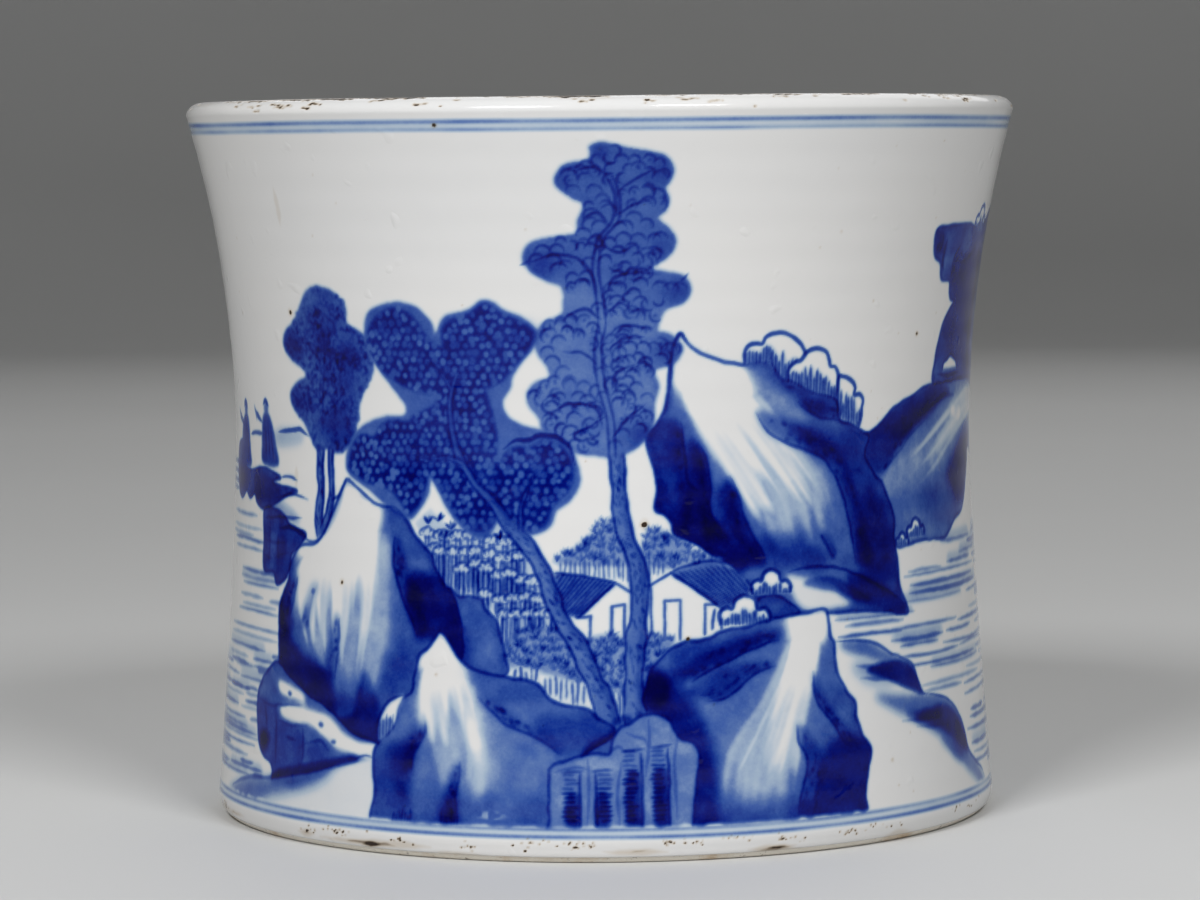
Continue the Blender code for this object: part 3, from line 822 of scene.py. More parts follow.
def paint_mountain(cobalt):
    """The big peak at the right of the tall tree, with bushes along its crest and a terrace at its foot."""
    peak = [(16.3, 109.5), (18, 107.4), (21, 105.4), (24.5, 104), (28, 103.1), (31, 102.9), (36.4, 103.2),
            (38, 101.4), (39.8, 100), (44, 98.5), (49, 96.5), (53.4, 94.7), (54.4, 90.6), (57.4, 89.4),
            (60.4, 87.8), (63.2, 86.2), (62, 82.4), (64.6, 78.8), (67.2, 76.2), (69.8, 71.4), (71, 67.8),
            (70.4, 63.6), (71.4, 59.4), (71.6, 54), (73.8, 49.8), (73.4, 48), (66, 49.2), (58, 49.7),
            (50, 50), (42, 50), (36, 51), (31, 56), (27.6, 61), (24, 62.6), (20, 65.8), (15.2, 67.8),
            (14.4, 70.4), (12.8, 72.2), (11, 73.2), (11.6, 77), (11, 81.2), (9.9, 85), (9.3, 88.2),
            (11.4, 90.8), (13, 93.4), (13.9, 98), (14.4, 103), (14.9, 107)]
    edge = rock(cobalt, peak, 0.42, bare=[([(16, 110), (21, 106), (28, 103.6), (31, 101), (32.6, 97.4),
                                            (32, 93), (27, 92), (20, 93), (15, 98),
                                            (14.6, 104)], 1.8, 1.2),
                                          ([(28, 103), (36, 101), (44, 96), (46, 91), (40, 90),
                                            (32, 96)], 3.0, 0.5)],
                runs=[([(14.4, 104), (15.4, 97), (19, 89), (25, 79), (33, 66)],
                       [(25, 105), (34, 97), (42, 89.6), (50, 81), (60, 68)], 22, 1.15, 0.65, 1.4),
                      ([(19, 98), (24, 87), (31, 75), (38, 61)],
                       [(34, 99), (43, 89), (52, 79), (57, 62)], 15, 0.84, 0.85, 1.4)],
                shades=[([(9, 90), (12.4, 91.6), (16, 91.4), (17.4, 84), (18, 79), (19, 72), (16, 66.4),
                          (10, 72), (11, 80)], 1.0, 0.34),
                        ([(18.4, 87.4), (20.6, 86), (22.6, 80), (23, 72), (26, 67), (31, 60.6), (24, 61),
                          (17, 68), (18, 78)], 0.9, 0.44),
                        ([(16, 72), (22, 74), (24, 66), (29, 60), (22, 62), (14, 68)], 1.6, 0.2),
                        ([(26.6, 79), (29.4, 73), (31.6, 67.6), (35, 61.4), (29.4, 60.6), (25, 68),
                          (24, 74)], 1.0, 0.34),
                        ([(35, 67), (42, 66.4), (48, 63.6), (50, 60), (40, 60.6), (36, 62)], 1.8, 0.3),
                        ([(35, 101.4), (40, 99.6), (45, 97), (50, 95.6), (52, 91.4), (46, 92.6),
                          (40, 96)], 1.2, 0.26),
                        ([(44, 88), (52, 88.8), (60, 87.4), (61.6, 82), (66, 75), (70, 68), (70.6, 58),
                          (72, 51), (62, 55), (59, 60), (59.4, 68), (57, 76), (53, 82)], 1.4, 0.26),
                        ([(60, 74), (68, 70), (70, 60), (66, 56), (60.4, 60)], 2.0, 0.22)],
                seed=60)
    hollow(cobalt, [(16.6, 91), (17.3, 86), (17.6, 82), (18.4, 78.4), (20.6, 76.4)],
           [(15.4, 90), (15.2, 85), (15.4, 80), (15.6, 76), (17, 73)], 0.16, edge, 8, line=0.34)
    hollow(cobalt, [(20.4, 86.6), (22.2, 83), (22.8, 78), (22.8, 72.4), (24.6, 69), (27, 66.4)],
           [(19.4, 86), (20, 82), (20.4, 78), (20.2, 73), (20.6, 69), (22, 66)], 0.26, edge, 10, line=0.3)
    hollow(cobalt, [(27.4, 79.6), (29, 76), (29.8, 72), (31.6, 68), (34, 64.4), (35.2, 61)],
           [(26.4, 78.6), (26.6, 75), (27, 71), (27.8, 67), (29, 63.4), (31, 61)], 0.26, edge, 9, line=0.3)
    hollow(cobalt, [(33.4, 92.6), (36, 88.8), (41, 86), (46, 84.2), (50, 82.4), (52.4, 79.6), (54.6, 76),
                    (56.2, 71), (57.4, 65), (58.2, 60)],
           [(34.4, 93.4), (38.6, 91.6), (44, 90), (49, 87.6), (53.4, 85), (56.6, 81), (59, 75.6), (61, 70),
            (62.6, 64), (63, 58)], 0.3, edge, 34, line=0.36)
    hollow(cobalt, [(43.4, 94.6), (46.4, 92.4), (50, 90.9), (54.4, 90.4)],
           [(44.4, 96), (47.6, 95.4), (51.4, 94), (53.8, 93)], 0.22, edge, 10, line=0.34)
    hollow(cobalt, [(48.8, 66.4), (50.4, 64), (52, 61)],
           [(49.4, 67), (51.6, 65.4), (52.6, 61.4)], 0.3, edge, 3, line=0.3)
    hollow(cobalt, [(39.6, 99.9), (42.6, 98.8), (46, 97.6)],
           [(39, 98), (42, 96.6), (45, 96)], 0.2, edge, 5, line=0.2)
    wash(cobalt, [(39.6, 58.6), (43.6, 58.2), (47, 57), (51, 56.2), (54, 53.6), (56.4, 51.2), (50, 50.4),
                  (44.6, 50.6), (41.6, 53)], 0.01, feather=0.7, clear=1.0, within=edge)
    wash(cobalt, [(44, 56.6), (48, 57.6), (53, 57), (58, 54.6), (62, 52), (57, 52.4), (52, 54.4),
                  (47, 55.4)], 0.34, feather=0.6, within=edge)
    wash(cobalt, [(56, 58), (62, 56.6), (68, 53.4), (73.4, 49.6), (70, 48.6), (62, 50.4),
                  (57, 52.6)], 0.42, feather=0.9, within=edge)
    stroke(cobalt, [(40.4, 59.2), (46, 59.8), (52, 59.4), (58, 57.6), (64, 55), (69, 52.6),
                    (72.6, 50.4)], 0.7, 0.4, taper=0.2)
    foot_stone = [(33.2, 53.8), (37, 54.4), (40, 53), (42.6, 50.6), (40, 49.6), (36, 49.8), (33, 50.4)]
    rock(cobalt, foot_stone, 0.55, pooling=0.1, seed=62)
    for top, ground in (([(30.5, 103), (30.6, 105.4), (31.5, 106.8), (33, 107.2), (34.5, 107),
                          (35.2, 108.2), (36.8, 109), (39, 109.2), (41.2, 108.5), (43, 107.3),
                          (44.4, 105.8), (45.2, 103), (44, 98.6)],
                         [(30.5, 103), (33, 103), (36, 103.2), (37.4, 101.8), (39.6, 99.4), (44, 98)]),
                        ([(40.8, 99), (41, 101.6), (42.4, 103), (44, 103.4), (45.2, 104.8), (46.6, 105.5),
                          (48.4, 105.6), (50.4, 104.8), (51.2, 103), (51.6, 101.8), (53, 101.5),
                          (53.9, 100), (53.8, 97.6), (53.2, 94.8)],
                         [(40.8, 99), (44, 97.6), (48, 96.2), (51, 95.4), (53.2, 94.6)]),
                        ([(54, 91), (54, 98.8), (55.2, 99.4), (56.6, 99.1), (58, 98.2), (58.8, 97),
                          (58.6, 95.6), (60.2, 95.5), (61.2, 94.2), (60.9, 92.2), (60.4, 89)],
                         [(54.4, 90.8), (57, 89.6), (60.4, 88)])):
        cloud(cobalt, top, ground, 0.5)
    stroke(cobalt, [(37, 102.6), (38, 100.8), (39.6, 99.4), (42, 98.6), (45, 97.2), (48, 96.2), (51, 95.4),
                    (53.4, 94.4), (54.4, 92.2), (54.7, 90), (58, 89.2), (61, 87.8)], 0.7, 0.3, taper=0.1)


def paint_village(cobalt):
    """The grove, two gabled houses and the needle-leaved growth round them."""
    grove = [(-41.6, 70), (-38, 73), (-34, 69.5), (-28, 69), (-20, 71), (-15.6, 67), (-12.6, 60),
             (-9.6, 52), (-9, 47), (-20, 45.4), (-21.4, 50), (-25, 54), (-26.6, 55), (-31.4, 55), (-36, 61),
             (-38, 65)]
    wash(cobalt, grove, 0.07, clear=1.0, closed_curve=False)
    for left, right, stem in (((-38.6, 58), (-19, 57), 10.4), ((-37, 57), (-17, 56), 8),
                              ((-30, 54), (-14.6, 52), 7.4), ((-24.6, 47.6), (-11, 47), 8.4),
                              ((-21, 46), (-10.4, 46), 6)):
        number = round((right[0] - left[0]) / 2.5)
        for share in np.linspace(0, 1, number + 1):
            s = left[0] + (right[0] - left[0]) * share + rng.normal(0, 0.35)
            h = left[1] + (right[1] - left[1]) * share + rng.normal(0, 0.5)
            sapling(cobalt, s, h - 1, stem, 1.55)
    for s, h in ((-38.4, 70.4), (-36, 71), (-33, 69.4), (-34.6, 67.4), (-25.4, 68), (-22, 67.6), (-19, 68),
                 (-16.6, 65)):
        for turn in np.radians(rng.uniform(-70, 70, 6)):
            tip = (s + 1.7 * math.sin(turn), h + 1.4 * math.cos(turn))
            stroke(cobalt, [(s, h - 0.4), tip], 0.4, 0.4, taper=0.4, shake=0.03)
    feathers(cobalt, [(-10.5, 62.4), (-7, 64.6), (-3, 68), (1.6, 71.6), (3.4, 69), (4.6, 66), (5.4, 62.4),
                      (0, 61.6)])
    stems(cobalt, -9, 6, (59.4, 58.4), (62.6, 62.6), 1.0, 0.3)
    feathers(cobalt,
             [(9, 62.4), (8.6, 67.6), (11.4, 69), (16, 67), (20, 64), (26, 62.6), (20, 61.2), (14, 60.8)])
    stems(cobalt, 8.6, 13, (59, 59.8), (63, 62), 0.95, 0.3)
    wash(cobalt, [(-5.4, 51.4), (-3, 53), (0, 56), (2.6, 57.9), (5.4, 56.2), (5.4, 45.6),
                  (-4, 45.6)], 0.0, clear=1.0, closed_curve=False)
    wash(cobalt, [(9.4, 57.4), (14, 59.8), (19, 56.6), (23.6, 53.2), (25.6, 52), (25.6, 45.4),
                  (9.4, 45.4)], 0.0, clear=1.0, closed_curve=False)
    for roof, ridge, eave in (([(-10.4, 60.1), (-4, 59.4), (2.6, 58.1), (0, 56), (-3, 53), (-5.2, 51),
                                (-8.4, 51.6)],
                               ((-10.6, 60.2), (2.6, 58.1)), ((-14.4, 53.6), (-5.2, 51))),
                              ([(14, 59.9), (18, 61.3), (22.4, 62.1), (26.4, 61), (31.6, 57), (30.6, 54),
                                (25.6, 52.2), (23.6, 53.2), (19, 56.6)],
                               ((14, 59.9), (31, 62.4)), ((24.4, 52.4), (36, 55)))):
        shape = np.asarray(roof, float)
        wash(cobalt, shape, 0.34, clear=1.0, closed_curve=False)
        for share in np.linspace(0.03, 0.97, 15):
            top = np.array(ridge[0]) + (np.array(ridge[1]) - ridge[0]) * share
            foot = np.array(eave[0]) + (np.array(eave[1]) - eave[0]) * share
            line = resampled(np.vstack([top, foot]))
            line = line[contains(shape, line)]
            if len(line) > 3:
                stroke(cobalt, None, 0.46, 0.4, taper=0.1, path=line, shake=0.05)
    for line in ([(-10.4, 60.2), (-4, 59.4), (2.6, 58.1)], [(2.6, 58), (0, 56), (-3, 53.1), (-5.4, 50.9)],
                 [(2.6, 58), (5.6, 56)], [(14, 60), (18, 61.4), (22.4, 62.2), (26, 61.4)],
                 [(9.2, 57.2), (14, 59.9)], [(14, 59.9), (19, 56.7), (23.6, 53.3), (26, 51.8)]):
        stroke(cobalt, line, 0.5, 0.48, taper=0.1, shake=0.05)
    for line in ([(1.4, 46), (1.6, 53.3), (4.2, 53.6), (4.1, 46)], [(-5.8, 51), (-2.8, 51.2), (-3, 46.6)],
                 [(12.6, 46), (12.6, 54.2), (16, 54.3), (15.8, 46)], [(21, 47), (21.2, 53.2), (23.8, 53.2)],
                 [(22.6, 48), (23.2, 52)], [(9.7, 46), (9.7, 57)], [(24.6, 48), (24.8, 52)]):
        stroke(cobalt, None, 0.52, 0.46, taper=0.03, path=np.array(line), shake=0.05)
    feathers(cobalt, [(-20.6, 41), (-20.6, 44.6), (-18.6, 47.2), (-14.6, 48.8), (-10, 48), (-7, 44.6),
                      (-4.6, 41.4), (-3.2, 38), (-6, 37), (-11, 39), (-16, 40)])
    feathers(cobalt, [(-3.6, 43), (-3, 46.8), (3.6, 46.8), (4.4, 41), (3.6, 34), (2, 31.4), (0, 36)])
    feathers(cobalt, [(8.2, 38), (8.6, 46.8), (14.6, 46.4), (11.6, 42)])
    for left, right, low, high in ((-18.6, -13, (38.2, 37.2), (40.6, 40)),
                                   (-12.4, -3.6, (35, 32.2), (39, 37.4)), (0.6, 4, (31.6, 31), (36, 35))):
        wash(cobalt, [(left, low[0]), (left, high[0]), (right, high[1]), (right, low[1])], 0.02, clear=0.9,
             closed_curve=False)
        stems(cobalt, left, right, low, high, 1.15, 0.36)
    bush(cobalt, 36.2, 57.2, 4.6)
    bush(cobalt, 30, 51.6, 5.6)


def paint_left_rock(cobalt):
    """The large rock at the left, the slab behind it and the stepped ledge with a white shore at its foot."""
    slab = [(-34, 56), (-31, 54.9), (-26.5, 54.8), (-25, 52.5), (-22.6, 49.6), (-21.6, 46), (-20.8, 42.6),
            (-20.6, 39.2), (-26, 37), (-34, 37), (-38, 44)]
    rock(cobalt, slab, 0.4, shades=[([(-34, 50), (-30, 49), (-28, 43), (-30, 38), (-36, 40)], 1.2, 0.25)],
         pooling=0.12, seed=80)
    big = [(-59.5, 78.3), (-61, 77.2), (-62.6, 74.4), (-64.2, 71.6), (-66, 68.4), (-68.2, 65.5),
           (-70.4, 64.3), (-74.5, 63.7), (-77.4, 61.4), (-79, 58.6), (-79.4, 55.8), (-81.2, 53),
           (-82.6, 50), (-82.4, 45), (-81.8, 40), (-81.4, 36.4), (-79, 34.5), (-74, 34), (-71.6, 32.8),
           (-70, 30.2), (-66.6, 29.2), (-64, 28.6), (-61.8, 27.6), (-58, 25.2), (-54, 23.8), (-49, 23.6),
           (-42, 26), (-34, 34), (-30.4, 42), (-30.3, 46.6), (-31, 51), (-32.2, 54.6), (-34.6, 57.6),
           (-36.6, 60.8), (-37.6, 63.4), (-41.4, 67.2), (-43.6, 70.4), (-46.6, 73), (-51, 73.4),
           (-55, 75.4)]
    edge = rock(cobalt, big, 0.42, bare=[([(-60, 79), (-53, 74.5), (-49.4, 73.4), (-50, 69), (-52, 65),
                                           (-56, 62), (-62, 61), (-70, 60.6), (-77.6, 61), (-76, 63.6),
                                           (-68, 66), (-63, 73)], 1.6, 1.2)],
                runs=[([(-73, 64), (-78, 58), (-78, 50), (-73, 41)],
                       [(-48.6, 74), (-47.6, 62), (-47.6, 48), (-52, 29)], 19, 1.15, 0.45, 1.4),
                      ([(-67, 66), (-73, 56), (-72, 45), (-64, 34)],
                       [(-47, 70), (-44.6, 58), (-45.6, 44), (-52, 28)], 15, 0.72, 0.85, 1.4)],
                shades=[([(-83, 51), (-80.6, 50), (-79, 45.6), (-75.6, 42), (-70, 39.4), (-64.4, 37.6),
                          (-62.4, 33.4), (-62, 28.6), (-66, 28), (-72, 32.6), (-80, 34),
                          (-83, 40)], 1.3, 0.62),
                        ([(-81, 55), (-79, 56), (-78.6, 50), (-77, 46), (-80, 44), (-83, 50)], 1.0, 0.3),
                        ([(-55.4, 35), (-53.6, 38), (-51, 34), (-49.6, 30), (-49, 23.6), (-57, 24.2),
                          (-61, 27.4), (-56.6, 29)], 1.0, 0.5),
                        ([(-62, 32), (-56, 31), (-55, 28), (-60, 26), (-64, 28)], 1.2, 0.25),
                        ([(-43.4, 57), (-41, 60), (-36, 58.4), (-31.6, 53), (-29.6, 43), (-33, 41),
                          (-37, 46), (-40.4, 46), (-42.6, 51.6)], 1.4, 0.6),
                        ([(-46, 44), (-40, 42), (-41, 32), (-47, 27), (-50, 32), (-49, 40)], 2.0, 0.12)],
                seed=82)
    hollow(cobalt, [(-47, 67), (-46.9, 63), (-46.2, 59), (-44.6, 54.6), (-42.4, 50.4), (-40.4, 46)],
           [(-45.6, 67.4), (-44, 63), (-42.6, 59.4), (-40.6, 56), (-38.6, 52), (-38, 48)], 0.3, edge, 16)
    hollow(cobalt, [(-61.6, 49), (-61.4, 45), (-61.9, 40), (-62.2, 36)],
           [(-62.4, 50), (-64.2, 45), (-65, 40), (-65, 36)], 0.3, edge, 8, line=0.25)
    hollow(cobalt, [(-75.6, 57), (-77, 53), (-78.4, 48)],
           [(-77.6, 56.6), (-79.6, 53), (-80.6, 48)], 0.26, edge, 8, line=0.2)
    hollow(cobalt, [(-68.6, 56), (-70.8, 51), (-71.4, 46)],
           [(-70.4, 55), (-73.2, 50), (-74.6, 46)], 0.3, edge, 4, line=0.05, feather=1.2)
    steps = [(-90.6, 31), (-88.4, 34), (-84.6, 37.2), (-81.6, 38), (-78, 36), (-70, 32), (-64, 30),
             (-56, 25), (-49.6, 23.4), (-49.6, 19), (-56, 17.8), (-64, 16), (-72, 13.6), (-82, 11.8),
             (-82.4, 14.6), (-83.6, 16.4), (-86.6, 17.4), (-88.8, 19.4), (-90.2, 23), (-90.8, 27)]
    rock(cobalt, steps, 0.42,
         bare=[([(-81.6, 34.2), (-77, 33.6), (-72.4, 32.4), (-71, 29.8), (-74, 30.4), (-78, 30.8),
                 (-81, 31.8)], 0.7, 1.3),
               ([(-80.6, 28.8), (-74, 29.4), (-68, 28.8), (-63, 27.8), (-60, 25.6), (-55, 23.4), (-49, 23),
                 (-49.4, 19.6), (-56, 20.6), (-61, 21.4), (-65.6, 24), (-70, 25.8), (-75, 25.6),
                 (-79.6, 26.4)], 0.8, 1.3)],
         shades=[([(-90, 29.4), (-82, 28.2), (-81.2, 22), (-82.4, 15), (-86.6, 17.6),
                   (-89.8, 22)], 0.7, 0.22),
                 ([(-80.4, 25), (-72, 24.4), (-71.4, 19), (-73.4, 15), (-81.4, 13.8)], 0.8, 0.2),
                 ([(-81, 14.6), (-70, 17.4), (-60, 19.6), (-55, 20.4), (-56, 18.4), (-66, 15.6),
                   (-81, 11.6)], 0.6, 0.5),
                 ([(-70, 20.4), (-64.6, 23.2), (-62, 21.8), (-63.6, 19), (-69, 18)], 0.8, 0.2),
                 ([(-88.6, 22), (-86, 23), (-84.6, 20.6), (-86.6, 18.4), (-88.4, 19.8)], 0.8, 0.7)],
         pooling=0.12, rim=1.4, seed=84)
    for line in ([(-90, 29.3), (-84, 28.4), (-78, 29.2), (-72, 29.6)],
                 [(-82.4, 28), (-81.6, 22), (-81.4, 14)], [(-81, 25.6), (-76, 25), (-70.6, 25.4)],
                 [(-71.8, 25), (-71.2, 20), (-72.4, 16)], [(-87, 28), (-85.8, 23)],
                 [(-78, 22.4), (-74, 22)], [(-70.6, 21.6), (-66, 22.6), (-63, 20.6)]):
        stroke(cobalt, line, 0.6, 0.3, taper=0.4, soft=0.5)
    for s, h in ((-65.8, 26), (-62, 22.6), (-77, 31.6)):
        stroke(cobalt, [(s - 0.6, h + 0.2), (s + 0.6, h - 0.1)], 0.8, 0.4, soft=0.6)
    shore = [(-112, 2), (-104, 8.6), (-94, 11.5), (-82, 13), (-70, 15.4), (-60, 18), (-52, 20), (-48, 20.4),
             (-48, 2)]
    wash(cobalt, shore, 0.015, clear=1.0, closed_curve=False)
    wash(cobalt, [(-108, 6), (-96, 10.6), (-82, 12.6), (-72, 14.6), (-62, 17.4), (-66, 14), (-74, 11.4),
                  (-84, 9), (-94, 6)], 0.34, feather=1.6)
    wash(cobalt,
         [(-84, 12.6), (-72, 14.8), (-62, 17.6), (-58, 18.6), (-66, 15.2), (-76, 12.2)], 0.3, feather=0.7)
    stroke(cobalt, [(-104, 8.8), (-94, 11.6), (-82, 13.1), (-70, 15.5),
                    (-60, 18.2)], 0.8, 0.3, taper=0.2, soft=0.6)
    stroke(cobalt, [(-56, 19.4), (-53, 20.6), (-50.6, 20.3)], 0.5, 0.4)


def paint_left_tree(cobalt):
    """The small tree at the left, stippled with fine leaves."""
    trunk(cobalt, [(-68, 66), (-68.8, 70), (-68.2, 76), (-68.6, 82), (-67.6, 90), (-66, 97)], 2.4, 1.2, 0.36)
    trunk(cobalt, [(-67.4, 67.4), (-65.6, 71), (-64.8, 76), (-65.2, 82), (-65, 88)], 1.8, 1.0, 0.38, bark=0.5)
    edge = canopy(cobalt, [(-66, 119), (-61.6, 118), (-58.4, 115), (-58.4, 111.4), (-54.4, 109.4),
                           (-52.8, 106), (-51.9, 102), (-54, 98.6), (-56, 95.4), (-57, 91), (-59, 86.2),
                           (-62.5, 84), (-66, 84.8), (-69.4, 84.4), (-72, 87), (-74.2, 90), (-78, 93),
                           (-79, 96), (-76, 98.4), (-72.8, 99.6), (-73.4, 101.4), (-77.6, 103.5),
                           (-80.2, 106), (-79.4, 109), (-76.5, 110.8), (-73.6, 113.6), (-70, 118)], 0.43,
                  [(-77.6, 106.4, 3, 0.3), (-60, 104, 3.4, 0.2), (-66, 108.6, 2.6, 0.22),
                   (-64, 91, 4.5, 0.16), (-77, 95, 2.4, 0.16)])
    for s, h in crowd(edge, 1.25, jitter=0.4):
        press = float(grain(np.array(s / 4.5), np.array(h / 4.5), 77))
        arc(cobalt, s, h, rng.uniform(0.35, 0.7), rng.uniform(0, 360), rng.uniform(120, 240), 0.6,
            0.04 + 0.3 * press, 0.5)
    for s, h, half_s, half_h in ((-76, 107, 3, 3), (-66, 113, 5, 3.4), (-57, 105, 3.4, 3), (-66, 104, 3, 5),
                                 (-74, 95, 3.6, 2.4), (-63, 90, 5, 3.6), (-60, 98, 3, 3)):
        wash(cobalt, blob(s, h - 0.6, half_s, half_h), 0.13, feather=1.3)
    for limb in ([(-67.6, 86), (-67.4, 95), (-66, 103), (-65.6, 110)],
                 [(-67.2, 94), (-71, 97), (-75.6, 97.4)], [(-66.2, 101), (-62, 104.6), (-58, 105.6)],
                 [(-66, 105), (-70, 107), (-75, 107)], [(-66.4, 92), (-62.6, 95), (-59.6, 98.6)]):
        stroke(cobalt, limb, 0.55, 0.26, taper=0.4, soft=0.5)


def paint_tall_tree(cobalt):
    """The tall tree, its leaves in scaly clumps along a doubled stem."""
    trunk(cobalt, [(6.2, 29), (5.9, 36), (6.2, 43), (7, 50), (7.4, 56), (7.2, 61), (6, 64.4), (4.4, 68.4),
                   (3.6, 73), (3.2, 79), (2.6, 86), (1.4, 93)], 4.3, 2.6, 0.3, bark=1.3)
    edge = canopy(cobalt, [(-2, 148.4), (0.6, 149), (5, 147.9), (9.6, 147), (12.6, 146), (14.1, 143.4),
                           (13.5, 141), (12.5, 139.7), (13.3, 137.4), (12.8, 135), (11.2, 133.4),
                           (13.4, 131.4), (15, 128.8), (14, 126), (11.6, 124.2), (10, 123), (13, 122.3),
                           (16.8, 121.3), (18.3, 118.6), (17, 116), (13.4, 114.7), (12, 112.4), (11.6, 110),
                           (14.2, 109.4), (16.8, 106.6), (15, 103.4), (11, 102), (11.8, 98.6), (11, 95.4),
                           (10.9, 92.6), (10.4, 90), (8, 86.8), (4.8, 84.8), (1, 84.2), (-2, 84.6),
                           (-5.4, 85), (-9, 87), (-12.6, 89.6), (-13.4, 92.2), (-15.6, 95), (-15.8, 97.5),
                           (-14, 99.6), (-11.2, 100.6), (-11.4, 102.8), (-13.6, 106), (-13.7, 109.4),
                           (-12, 112), (-8.4, 113.6), (-7.8, 116), (-8.1, 119.4), (-11, 120.7),
                           (-14.4, 122.8), (-15.9, 125.6), (-14, 128.6), (-9, 129.7), (-5, 130.4),
                           (-4.6, 133), (-3.4, 136.4), (-6, 138), (-8.9, 141), (-7, 144.4), (-2.6, 145.4),
                           (-1.8, 147)], 0.29,
                  [(-12.4, 123.6, 4, 0.3), (15.6, 118.4, 3.6, 0.26), (8, 88.6, 3, 0.3),
                   (13.6, 106, 2.6, 0.24), (12, 143.4, 2.6, 0.16), (13, 128, 3, 0.12),
                   (-7.4, 140.6, 2.4, 0.14), (0, 147, 1.6, 0.2)])
    wash(cobalt,
         [(-8, 147), (2, 150), (14, 147), (15, 127), (2, 118), (-10, 127)], 0.1, feather=3, within=edge)
    for s, h in crowd(edge, 2.9, jitter=0.2):
        if np.hypot(*(edge - (s, h)).T).min() > 1.4:
            lean = -14 * np.sign(s - 1) + rng.uniform(-30, 30)
            press = float(smooth(grain(np.array(s / 5.5), np.array(h / 5.5), 31), 0.25, 0.8))
            if press > 0.2:
                arc(cobalt, s, h - 0.6, rng.uniform(1.3, 1.7), lean, 180, 0.5, 0.14 + 0.24 * press, 0.4)
    for s, h, half_s, half_h, start, sweep, rows in (
            (7, 141.6, 6.4, 4.4, -20, 215, 3), (-4.4, 141.4, 4.2, 3.4, 20, 200, 2),
            (0.6, 147, 2.2, 1.8, 0, 360, 1), (7.6, 135.6, 5, 3.8, -30, 190, 3),
            (-0.6, 134, 3.2, 3.2, 60, 150, 1), (7.6, 126.4, 5.8, 4.8, -160, 170, 3),
            (-10, 126.6, 5.4, 2.4, 20, 180, 2), (-3.4, 127.6, 3.4, 2.6, -20, 200, 2),
            (8.6, 117.4, 7.8, 4.4, 150, 200, 3), (2.6, 113.4, 4.2, 2.6, 0, 180, 2),
            (-6.4, 109.4, 5.6, 3.4, -40, 240, 3), (10, 107, 6, 3.4, -60, 270, 3),
            (3.6, 105.6, 3.2, 3, 60, 240, 2), (-8.8, 97, 5, 3, 60, 200, 2), (6, 99.6, 4.8, 4.6, 20, 190, 3),
            (3.6, 95, 2.6, 3.2, -90, 200, 2), (-6.4, 89.6, 5.4, 4, 120, 290, 3),
            (-3.4, 93, 2.6, 2.2, 0, 180, 1), (7.2, 90, 3.2, 3.6, -100, 220, 2),
            (-4.4, 116.8, 3, 3.2, 60, 100, 1)):
        scallops(cobalt, s, h, half_s, half_h, start, sweep, rows, 0.3, within=edge)
    for lobe in ([(-14.6, 124.6), (-9.4, 126.1), (-4.4, 125), (-1.8, 121.6), (-0.8, 117.4)],
                 [(1, 117.6), (2.2, 120.8), (6, 122.2), (12, 121.9)],
                 [(-10.8, 93.4), (-6.4, 95.3), (-1.4, 94.2), (0, 90)],
                 [(1.6, 109.4), (4.6, 111.4), (10.6, 110.6)], [(1.8, 98), (3, 101.6), (6.6, 103.2)],
                 [(-7.4, 113.4), (-3.6, 114.8), (0, 112.6)], [(-3.8, 133.4), (-0.8, 134.6), (1.8, 132)],
                 [(2, 88), (5.4, 92), (8.8, 94.6)]):
        stroke(cobalt, lobe, 0.62, 0.4, taper=0.3)
    for side in (-0.75, 0.75):
        stroke(cobalt, [(2 + side, 84), (1.6 + side, 92), (-0.2 + side, 99), (-0.9 + side, 106),
                        (0 + side, 112)], 0.6, 0.3, taper=0.1)
        stroke(cobalt, [(0 + side, 112), (-0.4 + side, 117), (-1.2 + side * 0.8, 123),
                        (-0.2 + side * 0.8, 129), (2.8 + side * 0.7, 133), (3.2 + side * 0.7, 138),
                        (1.4 + side * 0.6, 142.6)], 0.6, 0.34, taper=0.1)
    for twig in ([(2, 142), (-1.6, 144), (-5.4, 143)], [(3.4, 139), (6, 141), (10.6, 143.6)],
                 [(2.8, 134), (6, 136), (9.4, 137)], [(0.2, 127.6), (3.4, 126.6), (7, 128)],
                 [(0.8, 106), (4, 108.4), (8.6, 109)], [(-0.8, 103), (-4, 105.6), (-8, 106)],
                 [(0.8, 92.6), (-3, 90.4), (-7, 88.6)], [(-16.6, 123.8), (-14.8, 124.8)],
                 [(17.8, 121.8), (16.2, 120.4)]):
        stroke(cobalt, twig, 0.5, 0.4, taper=0.4)


